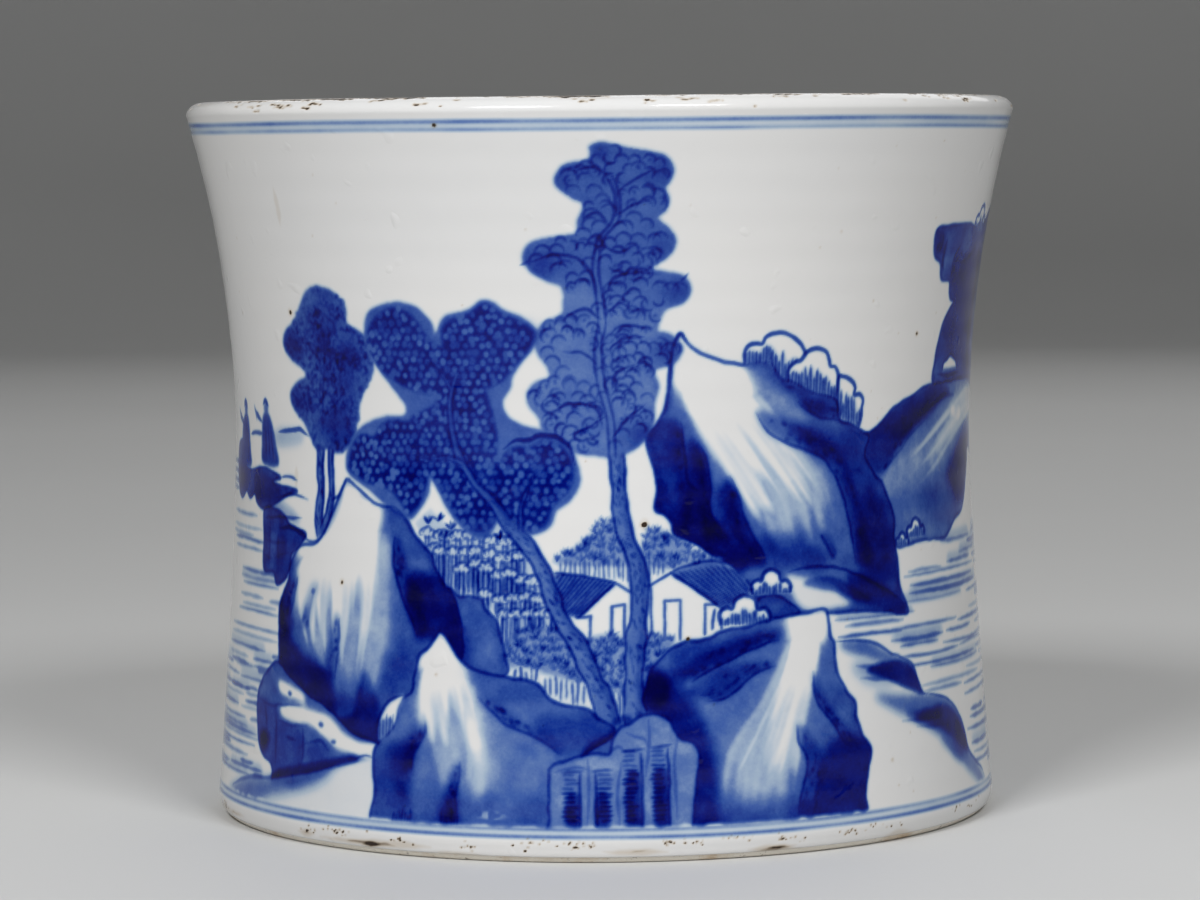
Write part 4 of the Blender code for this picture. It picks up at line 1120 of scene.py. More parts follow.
def paint_round_leaf_tree(cobalt):
    """The leaning tree whose round leaves show pale on dark mats."""
    trunk(cobalt, [(1, 28.6), (-0.6, 34.4), (-3, 39.4), (-5.2, 44.8), (-8.8, 50), (-10.9, 55.2),
                   (-12.8, 60.4), (-16, 65.6), (-19.6, 69.4), (-22.6, 73)], 4.2, 2.6, 0.3, bark=1.3)
    canopy(cobalt, [(-53.2, 111.6), (-51, 114.5), (-45, 116), (-40, 115), (-36.8, 112), (-36, 109.6),
                    (-35, 110.8), (-33.4, 113.2), (-29, 114.3), (-27, 115.2), (-25, 116.6), (-22.5, 116.1),
                    (-20.5, 114.6), (-16.6, 113), (-13.4, 110), (-14.4, 107), (-17, 104), (-19, 101),
                    (-19.6, 98.5), (-21.4, 95.6), (-20.4, 92.6), (-17, 90.6), (-12, 89.4), (-8, 87.4),
                    (-5.8, 83.6), (-5, 79), (-7, 75.4), (-10, 73), (-11.2, 70), (-15, 68.2), (-19, 69.4),
                    (-22.4, 71), (-24.4, 68), (-27, 67.2), (-31, 69.8), (-34, 73.4), (-36.6, 78),
                    (-38, 79.4), (-38.6, 76), (-41, 72.4), (-43, 70.8), (-45.6, 72.4), (-49.6, 74),
                    (-54, 76.8), (-59, 79.4), (-60.4, 82), (-59, 86.6), (-55, 90), (-49, 92), (-44.6, 92.2),
                    (-43.6, 94.2), (-46.6, 98), (-50.2, 102), (-53.2, 107)], 0.38,
           [(-33, 96, 5, 0.1), (-12, 82, 5, 0.1), (-44, 106, 6, 0.1)])
    bright_leaves(cobalt, [[(-53.2, 108), (-51, 112.4), (-46, 114.9), (-41.6, 113.6), (-38.6, 110),
                            (-36.6, 107.4), (-33, 106), (-31, 101), (-33, 97.6), (-38, 97.2), (-42, 97.8),
                            (-46.5, 99.9), (-50.5, 102.8)],
                           [(-34.4, 110), (-32, 112.7), (-28, 113.9), (-24.5, 116), (-21, 114.1),
                            (-16.6, 112), (-14.1, 109.4), (-15.8, 106), (-18.8, 102.8), (-21.4, 99.8),
                            (-25.4, 98.6), (-29, 100), (-33, 104)],
                           [(-35, 98), (-31, 102), (-27, 99.5), (-25, 97.6), (-23.8, 94), (-22.6, 89),
                            (-22.8, 84), (-20.8, 79), (-22.6, 72), (-25, 68.8), (-28, 68.8), (-31.4, 71.2),
                            (-34.3, 75), (-36.8, 79), (-39.5, 82), (-41, 87), (-42.6, 91.6), (-39, 93.6),
                            (-36.4, 95)],
                           [(-59.6, 81), (-58.4, 85.6), (-55.5, 88.2), (-52.4, 87.6), (-50, 90.6),
                            (-45, 91.2), (-41, 90), (-39, 84), (-38.8, 79.6), (-40.2, 75), (-43, 71.8),
                            (-45.4, 74.2), (-48, 76.6), (-53, 77.8), (-57.4, 79.6)],
                           [(-21.4, 84), (-19, 86.2), (-15.6, 86.2), (-12.4, 87.6), (-8.6, 86.2),
                            (-6.7, 83), (-6.4, 79), (-8.4, 76.2), (-10.8, 73.6), (-12.2, 70.2), (-15.4, 69),
                            (-19, 70.6), (-21.4, 73), (-22, 78)]],
                  1.8, 0.84, 0.88, 0.42)
    for s, h, half_s, half_h in ((-31.6, 106, 2, 4), (-42.6, 82, 2, 5), (-22.6, 78, 1.2, 5),
                                 (-26, 70.6, 3, 1.6), (-47, 111, 5, 2), (-16, 109.6, 2.4, 2.4)):
        wash(cobalt, blob(s, h, half_s, half_h), 0.14, feather=1.6)
    stroke(cobalt, [(-21.4, 85.6), (-18.6, 87.6), (-15.4, 87.8), (-13.6, 88.6), (-10, 88.4), (-7, 86.2),
                    (-6, 82.6)], 1.1, 0.5, taper=0.4)
    for limb, base, tip in (([(-20.6, 70.6), (-24, 75), (-28, 79), (-31.4, 84.6), (-33, 91), (-32.8, 97),
                              (-31.4, 101)], 2.3, 0.9),
                            ([(-30.2, 82.4), (-34, 83.8), (-38, 83.4), (-42, 84.6)], 1.0, 0.5),
                            ([(-17.6, 68.6), (-17.4, 74), (-15.4, 79), (-13.8, 81)], 1.2, 0.5),
                            ([(-32.8, 98), (-35, 101.6), (-38.4, 104)], 0.9, 0.4)):
        trunk(cobalt, limb, base, tip, 0.4, 0.34, bark=0.3)


def paint_front_rocks(cobalt):
    """The rock left of the trees, the one at their right and the squared stone under them."""
    left = [(-35.3, 47.6), (-36.6, 46), (-38.4, 43.8), (-40.3, 42.2), (-41, 38.6), (-41.6, 35),
            (-43.4, 33.4), (-44.6, 31.4), (-45.2, 28.4), (-47, 26), (-49.2, 24), (-50.6, 21.4), (-50.6, 17),
            (-50, 13), (-50, 2), (-30, 2), (-8, 2), (-8, 16), (-4, 22.8), (1, 26), (1.6, 28.2),
            (-1.4, 30.2), (-3.6, 32), (-8, 32.8), (-11.6, 34.3), (-13.2, 36.6), (-15, 37.6), (-20, 38.5),
            (-24, 39), (-28, 40.2), (-31, 42.6), (-33.8, 46.6)]
    edge = rock(cobalt, left, 0.3, bare=[([(-36, 48), (-33.4, 46.4), (-30.2, 42), (-28.6, 39.6), (-33, 38),
                                           (-40.2, 39.4), (-40.8, 41), (-38, 44.4)], 1.5, 1.2),
                                         ([(-38, 34), (-32, 38), (-26, 32), (-20, 22), (-24, 15), (-29, 22),
                                           (-36, 24)], 3.0, 0.4),
                                         ([(-31.6, 38), (-28, 38), (-25.4, 28), (-24.4, 16), (-27.4, 13),
                                           (-29, 24)], 1.1, 0.6)],
                runs=[([(-39, 42), (-40.8, 35), (-40.6, 27), (-39.6, 21)],
                       [(-33, 46), (-27.4, 38), (-24.6, 30), (-21.6, 19)], 16, 1.15, 0.5, 1.35),
                      ([(-29.6, 38), (-29.4, 30), (-29, 21), (-28, 12)],
                       [(-27.6, 38), (-26.4, 30), (-25.6, 21), (-25.6, 13)], 2, 0.9, 0.8, 1.2),
                      ([(-38, 40), (-39, 30), (-36, 18), (-34, 12)],
                       [(-31, 42), (-25.6, 34), (-22.6, 24), (-22, 12)], 11, 0.64, 0.8, 1.4)],
                shades=[([(-49, 22.6), (-44, 25), (-39.6, 28), (-39.4, 24), (-41.2, 20), (-41.4, 12),
                          (-40, 2), (-51, 2), (-50.4, 18)], 1.5, 0.26),
                        ([(-46.6, 22.6), (-41, 24.6), (-41.4, 19.6), (-42, 12), (-44, 12),
                          (-46, 18)], 1.2, 0.26),
                        ([(-33.6, 14), (-30.6, 20), (-30.4, 12), (-30.6, 2), (-36, 2),
                          (-35, 10)], 1.2, 0.3),
                        ([(-38, 14), (-24, 12), (-12, 14), (-8, 2), (-40, 2)], 2.5, 0.14),
                        ([(-15, 30), (-6, 31.6), (0, 29.4), (1.4, 26.4), (-4, 23), (-8, 22),
                          (-12, 25)], 1.8, 0.24),
                        ([(-30, 40), (-24, 38.6), (-16, 37.4), (-12, 35), (-16, 33),
                          (-24, 34)], 1.6, 0.16)],
                pooling=0.1, rim=1.6, seed=90)
    hollow(cobalt, [(-26.4, 34.4), (-23.6, 31.6), (-20.4, 28.6), (-16, 27), (-11.6, 24.8), (-9, 22.4)],
           [(-25.4, 35), (-21.6, 33), (-18.4, 30.4), (-15, 28.6), (-11, 26.6),
            (-8, 24.4)], 0.18, edge, 18, line=0.3)
    hollow(cobalt, [(-38.2, 28.6), (-38.7, 25.6), (-40.6, 22.4), (-41.4, 18)],
           [(-39.6, 26.6), (-41, 25.4), (-42.6, 22), (-43.6, 18)], 0.3, edge, 10, line=0.24)
    hollow(cobalt, [(-30.3, 20.6), (-30.5, 17), (-31.2, 14), (-30.8, 9)],
           [(-31, 20), (-32.6, 16), (-33.6, 12), (-34, 9)], 0.26, edge, 12, line=0.26)
    for s in np.concatenate([np.arange(-45.4, -41, 0.7), np.arange(-34.2, -30.4, 0.7)]):
        stroke(cobalt,
               [(s, FIRST_LINE - 0.4), (s + rng.uniform(-0.1, 0.2), FIRST_LINE + rng.uniform(1, 2.6))], 0.4,
               0.4, taper=0.3)
    wash(cobalt, [(-49.8, 24.4), (-49.6, 28), (-47.6, 31.8), (-45.4, 33.4), (-43.4, 34), (-44.6, 31),
                  (-45.4, 28), (-47, 25.8), (-48.8, 24)], 0.0, clear=1.0, feather=0.25)
    wash(cobalt, [(-49.8, 24.4), (-49.4, 28), (-46.4, 28.6), (-47, 25.8), (-48.8, 24)], 0.2, feather=0.5)
    stroke(cobalt, [(-49.9, 24.2), (-49.9, 28), (-47.8, 31.9), (-45.4, 33.5), (-43, 34)], 0.62, 0.46)
    stems(cobalt, -49.4, -45.8, (24.6, 26.8), (28.4, 30), 0.85, 0.38, 0.42)
    right = [(8.4, 36), (9.4, 39.4), (11.4, 42), (14, 44.4), (17, 45.6), (22, 46.2), (24.6, 47.5),
             (30, 48.1), (34.6, 49.1), (40, 50.1), (45, 50.4), (49.4, 50.6), (50, 48), (50.4, 45),
             (51.3, 43.4), (51.2, 40), (51.9, 36.4), (54, 33), (56, 31), (56.2, 27.6), (57.6, 23.6),
             (59.8, 20.6), (58.6, 16.4), (57.4, 11), (56.6, 2), (34, 2), (14, 2), (14, 24), (10, 30),
             (8, 33)]
    edge = rock(cobalt, right, 0.34,
                bare=[([(40, 51), (49, 51), (49.8, 46), (48, 43.4), (44, 43), (40.6, 43.6),
                        (39.6, 45.6)], 1.2, 1.2),
                      ([(24, 18), (28, 26), (36, 38), (42, 40), (44, 30), (41, 18), (34, 13)], 3.2, 0.42)],
                runs=[([(41, 50), (38, 40), (31, 27), (23, 14)],
                       [(49.4, 48), (47.6, 39), (44.4, 28), (41, 10)], 18, 1.15, 0.6, 1.4),
                      ([(41, 48), (33, 34), (24, 22), (22, 8)],
                       [(46, 46), (43, 34), (41, 20), (38, 6)], 14, 0.78, 0.85, 1.4)],
                shades=[([(8, 38), (12, 40), (15.6, 36.6), (19.4, 31), (22, 24), (23, 12), (22, 2), (12, 2),
                          (14, 24), (9, 31)], 1.6, 0.52),
                        ([(48, 22), (54, 24), (58, 23), (60, 20), (57.6, 2), (46, 2),
                          (45.6, 12)], 1.4, 0.54),
                        ([(24, 12), (34, 11), (42, 12), (47, 2), (22, 2)], 2.0, 0.2),
                        ([(51, 36), (55.6, 30.6), (56, 25), (50, 27), (48.6, 32)], 1.4, 0.1),
                        ([(14, 43.6), (22, 45.6), (30, 47.2), (37.6, 47.8), (37.6, 45.2), (30, 43.4),
                          (22, 40.4), (15, 37)], 0.9, 0.2)],
                pooling=0.12, rim=1.8, seed=94)
    wash(cobalt, blob(10.4, 35.8, 2.9, 3.9), 0.5, feather=0.9)
    hollow(cobalt, [(37.8, 45), (34, 44.4), (30, 43), (25.6, 41.2), (21.4, 39.2), (18, 37.4)],
           [(38, 47), (33, 46.8), (28, 45.6), (22, 43.8), (17.6, 41.6),
            (14.6, 39)], 0.26, edge, 26, line=0.36)
    hollow(cobalt, [(36.6, 39.8), (33.6, 39), (30.4, 37.4), (27.6, 35.2), (24.6, 33.4), (21.4, 33.2)],
           [(35.6, 40.8), (31, 41), (26.4, 40), (21.6, 38.4), (17.6, 36),
            (16.4, 34.6)], 0.3, edge, 24, line=0.36)
    hollow(cobalt, [(45.5, 38), (45.5, 34.6), (46.6, 31.4), (48.6, 28.4), (51, 25), (53, 22)],
           [(46.2, 37), (47.6, 34), (49.4, 31), (51.6, 28), (54, 25),
            (55.6, 22)], 0.26, edge, 14, line=0.36)
    hollow(cobalt, [(41, 27), (41.2, 24), (42.6, 21), (43, 18), (41.8, 14), (40.4, 8)],
           [(42.2, 27), (44.6, 24.6), (46.6, 21.4), (47.4, 18), (46.4, 13),
            (45.6, 8)], 0.3, edge, 16, line=0.36)
    stone = [(-11.5, 17.6), (-10.8, 20.2), (-8, 21.3), (-5, 22.3), (-2, 23), (0.4, 22.6), (1.4, 25.6),
             (3, 28.2), (5, 29), (7, 30.5), (10, 31), (13, 29.6), (14.4, 27.2), (15.6, 25.6), (17.8, 24.9),
             (19.2, 23), (19.1, 20), (18.3, 14), (17.5, 8), (17.2, 2), (3, 1), (-11, 2), (-11.4, 8)]
    wash(cobalt, [(-5, 22), (-3, 25), (0.8, 27), (1.6, 29.6), (3.4, 30.6), (5.6, 29.6), (4, 23),
                  (-1, 21)], 0.46, feather=0.35)
    rock(cobalt, stone, 0.25, pooling=0.1, rim=0.9, outline=0.34, seed=98)
    for left_s, right_s, top, ragged in (
            (-8, -5.3, 18.6, -1), (-2.1, 0.6, 18.8, 1), (4.2, 7.2, 23, -1), (9.8, 12.7, 23.6, -1)):
        wash(cobalt, [(left_s, 2), (left_s, top - 6), (left_s + 0.5, top - 4), (right_s - 0.5, top - 4),
                      (right_s, top - 7), (right_s, 2)], 0.5, feather=0.5, closed_curve=False)
        side = left_s if ragged < 0 else right_s
        for h in np.arange(9, top + 0.4, 0.95):
            reach = rng.uniform(0.3, 1.0)
            start, finish = sorted((side + ragged * reach, side - ragged * rng.uniform(1.6, 2.6)))
            stroke(cobalt, [(start, h), (finish, h + rng.normal(0, 0.12))], 0.55,
                   0.26 + 0.22 * (h < top - 3), taper=0.2, shake=0.05)
        crisp = right_s if ragged < 0 else left_s
        stroke(cobalt, [(crisp, top + 0.2), (crisp + 0.15, top * 0.6), (crisp, 6)], 0.6, 0.42, taper=0.1)
        stroke(cobalt, [(left_s - 0.9, top + 0.4), (right_s + 0.7, top + 0.7)], 0.6, 0.32, taper=0.3)
    for line in ([(0.6, 22.8), (2.6, 24.4), (4, 23)], [(4.4, 27), (7.6, 25.8), (8.4, 24.6)],
                 [(8.8, 29.6), (8.9, 26), (8.2, 18)], [(-3.6, 21.6), (-3.4, 14), (-3.7, 8)],
                 [(14.8, 26.4), (14, 20), (14.4, 9)], [(3.2, 21), (2.4, 14), (2.7, 8)],
                 [(-10.2, 19.2), (-6, 20), (-3.6, 19.6)]):
        stroke(cobalt, line, 0.5, 0.24, taper=0.4, soft=0.5)


def paint_landscape(cobalt):
    """The whole painting, from what lies farthest away to what stands in front, and the rings last."""
    paint_water(cobalt)
    paint_back(cobalt)
    paint_far_right(cobalt)
    paint_far_left(cobalt)
    paint_mountain(cobalt)
    paint_village(cobalt)
    paint_left_tree(cobalt)
    paint_left_rock(cobalt)
    paint_right_bank(cobalt)
    paint_tall_tree(cobalt)
    paint_round_leaf_tree(cobalt)
    paint_front_rocks(cobalt)
    stroke(cobalt, [(14.4, 97.6), (14.4, 103), (14.9, 107), (16.3, 109.5), (18, 107.4)], 0.6, 0.34, taper=0.2)
    cobalt.amount = (0.78 * cobalt.amount + 0.22 * spread(cobalt.amount, 0.5)).astype(np.float32)
    paint_borders(cobalt)


# ----------------------------------------------------------------------------------------------------------
# Shapes. The outline repeats the CAD model's: its lip and height come from the frame.
# ----------------------------------------------------------------------------------------------------------

MM = 0.001
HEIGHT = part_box("outer_glaze")[1][2] / MM
LIP_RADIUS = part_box("outer_glaze")[1][0] / MM
RECESS_RADIUS = 59.0
RECESS_SLOPE = 1.2
RECESS_DEPTH = 2.5
WAIST_RADIUS = 82.5
FOOT_RADIUS = 87.8
WAIST_HEIGHT = 84.0
WALL_THICKNESS = 7.5
FLOOR_HEIGHT = 11.0
CORNER_RADIUS = 6.0
LIP_FLARE = 2.0
FOOT_FLARE = 1.35
CROWN_RISE = 3.0
FOOT_EDGE_INSET = 2.7
FOOT_EDGE_RISE = 4.6
GLAZE_END = math.radians(45)
LIP_BASE = HEIGHT - CROWN_RISE
CORNER_HEIGHT = FLOOR_HEIGHT + CORNER_RADIUS

FRONT_PITCH = 0.32
BACK_PITCH = 0.42
ROW_PITCH = 0.32
PANELS = 12
FRONT_PANELS = 7
TURNED_COLUMNS = 288
CLAY_DEPTH = 0.22


def wall_radius(h):
    """The outside radius between the foot's edge and the lip's crown."""
    above = np.clip((h - WAIST_HEIGHT) / (LIP_BASE - WAIST_HEIGHT), 0, 1)
    below = np.clip((WAIST_HEIGHT - h) / WAIST_HEIGHT, 0, 1)
    return (WAIST_RADIUS + (LIP_RADIUS - WAIST_RADIUS) * above**LIP_FLARE
            + (FOOT_RADIUS - WAIST_RADIUS) * below**FOOT_FLARE)


def along(radius, height):
    """The distance run along a profile, from its first point."""
    return np.concatenate([[0], np.cumsum(np.hypot(np.diff(radius), np.diff(height)))])


def outer_rows():
    """The outer skin's rows from where the glaze ends on the foot's edge, up the wall and over the lip: each
    one's radius, height and h on the canvas."""
    angles = np.linspace(GLAZE_END, 0, 14)
    foot_radius = wall_radius(FOOT_EDGE_RISE) - FOOT_EDGE_INSET * (1 - np.cos(angles))
    foot_height = FOOT_EDGE_RISE * (1 - np.sin(angles))
    foot_h = FOOT_EDGE_RISE - along(foot_radius, foot_height)[-1] + along(foot_radius, foot_height)
    lap_radius = foot_radius[0] - np.array([0.45, 0.32, 0.14])
    lap_height = foot_height[0] - np.array([-0.10, 0.0, 0.03])
    wall_height = np.linspace(FOOT_EDGE_RISE, LIP_BASE, int((LIP_BASE - FOOT_EDGE_RISE) / ROW_PITCH))[1:]
    angles = np.linspace(0, math.pi, 34)[1:]
    middle = LIP_RADIUS - WALL_THICKNESS / 2
    crown_radius = middle + WALL_THICKNESS / 2 * np.cos(angles)
    crown_height = LIP_BASE + CROWN_RISE * np.sin(angles)
    crown_h = LIP_BASE + along(np.append(LIP_RADIUS, crown_radius), np.append(LIP_BASE, crown_height))[1:]
    tuck = np.array([0.3, 0.7, 1.1, 1.4])
    tuck_radius = LIP_RADIUS - WALL_THICKNESS + np.array([0.0, 0.0, 0.03, 0.08])
    tuck_height = LIP_BASE - tuck
    radius = np.concatenate([lap_radius, foot_radius, wall_radius(wall_height), crown_radius, tuck_radius])
    height = np.concatenate([lap_height, foot_height, wall_height, crown_height, tuck_height])
    h = np.concatenate([np.full(3, foot_h[0]), foot_h, wall_height, crown_h, crown_h[-1] + tuck])
    return radius, height, h


def unevenness(turn, height):
    """How far the thrown surface stands in from a true circle, and faint rings from the potter's hands."""
    oval = 0.06 * (1 + np.cos(2 * turn + 0.7)) + 0.03 * (1 + np.cos(3 * turn - 1.2 + height / 70))
    fine_rings = 0.018 * (1 + np.sin(height / 1.15 + 0.8 * np.sin(turn)))
    broad_rings = 0.03 * (1 + np.sin(height / 6.1 + turn))
    return oval + (fine_rings + broad_rings)


def placed(radius, height, turn):
    """Points in metres, in rows of one height each; turn is 0 at the front and grows to the right."""
    return MM * np.stack([radius * np.sin(turn), -radius * np.cos(turn), height + 0 * turn], axis=-1)


def grid_mesh(name, points, values=None, wrapped=False, down=None):
    """A mesh of quads over rows and columns of points, facing out, with named values at its points."""
    rows, columns = points.shape[:2]
    number = np.arange(rows * columns).reshape(rows, columns)
    if wrapped:
        number = np.hstack([number, number[:, :1]])
    corners = [number[:-1, :-1], number[:-1, 1:], number[1:, 1:], number[1:, :-1]]
    quads = np.stack(corners, axis=-1).reshape(-1, 4)
    mesh = bpy.data.meshes.new(name)
    mesh.vertices.add(rows * columns)
    mesh.vertices.foreach_set("co", points.reshape(-1).astype(np.float32))
    mesh.loops.add(quads.size)
    mesh.loops.foreach_set("vertex_index", quads.reshape(-1).astype(np.int32))
    mesh.polygons.add(len(quads))
    mesh.polygons.foreach_set("loop_start", np.arange(0, quads.size, 4, dtype=np.int32))
    mesh.update(calc_edges=True)
    mesh.validate()
    mesh.shade_smooth()
    for label, value in (values or {}).items():
        layer = mesh.attributes.new(label, "FLOAT", "POINT")
        layer.data.foreach_set("value", value.reshape(-1).astype(np.float32))
    if not wrapped:
        run = along(points[:, 0, 0], points[:, 0, 2]) if down is None else down
        u = np.broadcast_to(np.linspace(0.01, 0.99, columns), (rows, columns))
        v = np.broadcast_to((0.01 + 0.98 * run / run[-1])[:, None], (rows, columns))
        flat = np.stack([u, v], axis=-1).reshape(-1, 2)
        layer = mesh.uv_layers.new(name="OFBake")
        layer.data.foreach_set("uv", flat[quads.reshape(-1)].reshape(-1).astype(np.float32))
    return mesh


def piece(name, mesh, slot, material, *nodes):
    """An object of the pot that rides on its one body and stands for some CAD nodes."""
    made = bpy.data.objects.new(name, mesh)
    bpy.context.scene.collection.objects.link(made)
    mesh.materials.append(material)
    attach(made, "root")
    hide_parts(*nodes)
    return made


def make_outer_skin(cobalt, brown, bare, material):
    """The painted coat, in upright panels that meet edge to edge."""
    radius, height, h = outer_rows()
    run = along(radius, height)
    width = math.tau / PANELS
    for number in range(PANELS):
        middle = (number - (PANELS - 1) // 2) * width
        pitch = FRONT_PITCH if abs(middle) < width * (FRONT_PANELS / 2) else BACK_PITCH
        columns = int(width * ROLL_RADIUS / pitch) + 1
        turns = np.linspace(middle - width / 2, middle + width / 2, columns)
        turn = np.broadcast_to(turns, (len(h), columns))
        s = turn * ROLL_RADIUS
        level = np.broadcast_to(h[:, None], s.shape)
        values = {"cobalt": cobalt.read(s, level), "brown": brown.read(s, level), "bare": bare.read(s, level)}
        near_lip = smooth(level, LIP_BASE - 14, LIP_BASE)
        free = smooth(level, level[0, 0], level[0, 0] + 2)
        depth = unevenness(turn, level) * free + 0.16 * np.clip(values["bare"], 0, 1)
        droop = 0.1 * (1 + np.cos(2 * turn + 1.1)) + 0.05 * (1 + np.cos(5 * turn))
        top = height[:, None] - droop * near_lip - 0.14 * np.clip(values["bare"], 0, 1) * near_lip
        points = placed(radius[:, None] - depth, top, turn)
        mesh = grid_mesh(f"painted_glaze_{number + 1:02d}", points, values, down=run)
        piece(mesh.name, mesh, "painted_glaze", material, "outer_glaze")


def turned_mesh(name, radius, height, columns=TURNED_COLUMNS, ripple=0.0, closed=False):
    """A surface of revolution through (radius, height) points that run up its outer side."""
    turn = np.broadcast_to(np.linspace(0, math.tau, columns, endpoint=False), (len(radius), columns))
    run = along(radius, height)
    push = ripple * np.sin(run / 1.9)[:, None] * (1 + 0.5 * np.sin(turn + run[:, None] / 9))
    points = placed(np.maximum(np.asarray(radius)[:, None] - push, 0.02), np.asarray(height)[:, None], turn)
    if closed:
        points = np.concatenate([points, points[:1]])
    return grid_mesh(name, points, wrapped=True)


def corner_points(steps):
    """Radius and height round the corner inside the base, from the wall down to the floor."""
    angles = np.linspace(0, math.pi / 2, steps)
    middle = wall_radius(CORNER_HEIGHT) - WALL_THICKNESS - CORNER_RADIUS
    return middle + CORNER_RADIUS * np.cos(angles), CORNER_HEIGHT - CORNER_RADIUS * np.sin(angles)


def make_inner_skin(material):
    """The coat inside: down from just under the lip, round the corner and over the floor."""
    wall = np.linspace(LIP_BASE, CORNER_HEIGHT, 200)[:-1]
    corner_radius, corner_height = corner_points(16)
    floor = np.linspace(corner_radius[-1], 0, 90)[1:]
    radius = np.concatenate([wall_radius(wall) - WALL_THICKNESS, corner_radius, floor])
    height = np.concatenate([wall, corner_height, FLOOR_HEIGHT - 0.25 * (1 - (floor / floor[0]) ** 2)])
    mesh = turned_mesh("inner_glaze_skin", radius, height, ripple=0.06)
    piece(mesh.name, mesh, "plain_glaze", material, "inner_glaze")


def make_clay(material):
    """The unglazed porcelain: the wall down to its foot, and the base disc with the recess."""
    angles = np.linspace(math.pi / 2, 0, 16)
    edge_height = FOOT_EDGE_RISE * (1 - np.sin(angles))
    inset = np.interp(edge_height, [1.35, 3], [CLAY_DEPTH, 0.5])
    edge_radius = wall_radius(FOOT_EDGE_RISE) - inset - FOOT_EDGE_INSET * (1 - np.cos(angles))
    wall = np.linspace(FOOT_EDGE_RISE, LIP_BASE - 1, 60)[1:]
    crown_angles = np.linspace(0, math.pi, 12)
    crown_radius = LIP_RADIUS - WALL_THICKNESS / 2 + (WALL_THICKNESS / 2 - 0.5) * np.cos(crown_angles)
    crown_height = LIP_BASE - 0.8 + (CROWN_RISE - 0.4) * np.sin(crown_angles)
    down = np.linspace(LIP_BASE - 1, CORNER_HEIGHT, 60)
    corner_radius, corner_height = corner_points(10)
    joint = corner_radius[-1]
    radius = np.concatenate([[joint, joint + 4], edge_radius, wall_radius(wall) - 0.5, crown_radius,
                             wall_radius(down) - WALL_THICKNESS + 0.5, corner_radius[1:] + 0.4, [joint]])
    height = np.concatenate([[0, 0], edge_height, wall, crown_height, down, corner_height[1:] - 0.5,
                             [FLOOR_HEIGHT - 0.6]])
    mesh = turned_mesh("porcelain_wall", radius, height, closed=True)
    piece(mesh.name, mesh, "porcelain_clay", material, "wall")
    slope = RECESS_RADIUS - RECESS_SLOPE
    radius = [0.02, slope, slope + 0.1, RECESS_RADIUS - 0.15, RECESS_RADIUS + 0.15, joint - 0.12,
              joint - 0.02, joint - 0.02, 0.02]
    height = [RECESS_DEPTH, RECESS_DEPTH, RECESS_DEPTH - 0.1, 0.25, 0, 0, 0.12, FLOOR_HEIGHT - 0.6,
              FLOOR_HEIGHT - 0.6]
    mesh = turned_mesh("porcelain_base", radius, height)
    piece(mesh.name, mesh, "porcelain_clay", material, "base_disc")


def make_base_skin(material):
    """The round coat in the recess, with its rounded edge."""
    edge = RECESS_RADIUS - RECESS_SLOPE - 0.3
    radius = np.concatenate([np.linspace(0.02, edge - 0.5, 60),
                             edge - 0.5 + 0.5 * np.sin(np.linspace(0.2, math.pi / 2, 6))])
    height = np.concatenate([np.full(60, RECESS_DEPTH - 0.6),
                             RECESS_DEPTH - 0.6 + 0.5 * (1 - np.cos(np.linspace(0.2, math.pi / 2, 6)))])
    mesh = turned_mesh("base_glaze_skin", radius, height)
    piece(mesh.name, mesh, "plain_glaze", material, "base_glaze")


# ----------------------------------------------------------------------------------------------------------
# Wear and firing flaws, painted on canvases of their own.
# ----------------------------------------------------------------------------------------------------------


def speck(canvas, s, h, size, amount, stretch=1.0):
    """A small uneven spot."""
    index, grid_s, grid_h = canvas.window(np.array([[s, h]]), size * stretch + 0.8)
    if grid_s.size == 0:
        return
    ragged = 0.75 + 0.5 * grain(grid_s / 0.7 + 40, grid_h / 0.7 + 40, int(rng.integers(1, 999)))
    away = np.hypot((grid_s - s) / stretch, grid_h - h)
    cover = 1 - smooth(away, size * ragged * 0.55, size * ragged + 0.16)
    canvas.amount[index] = np.maximum(canvas.amount[index], amount * cover)


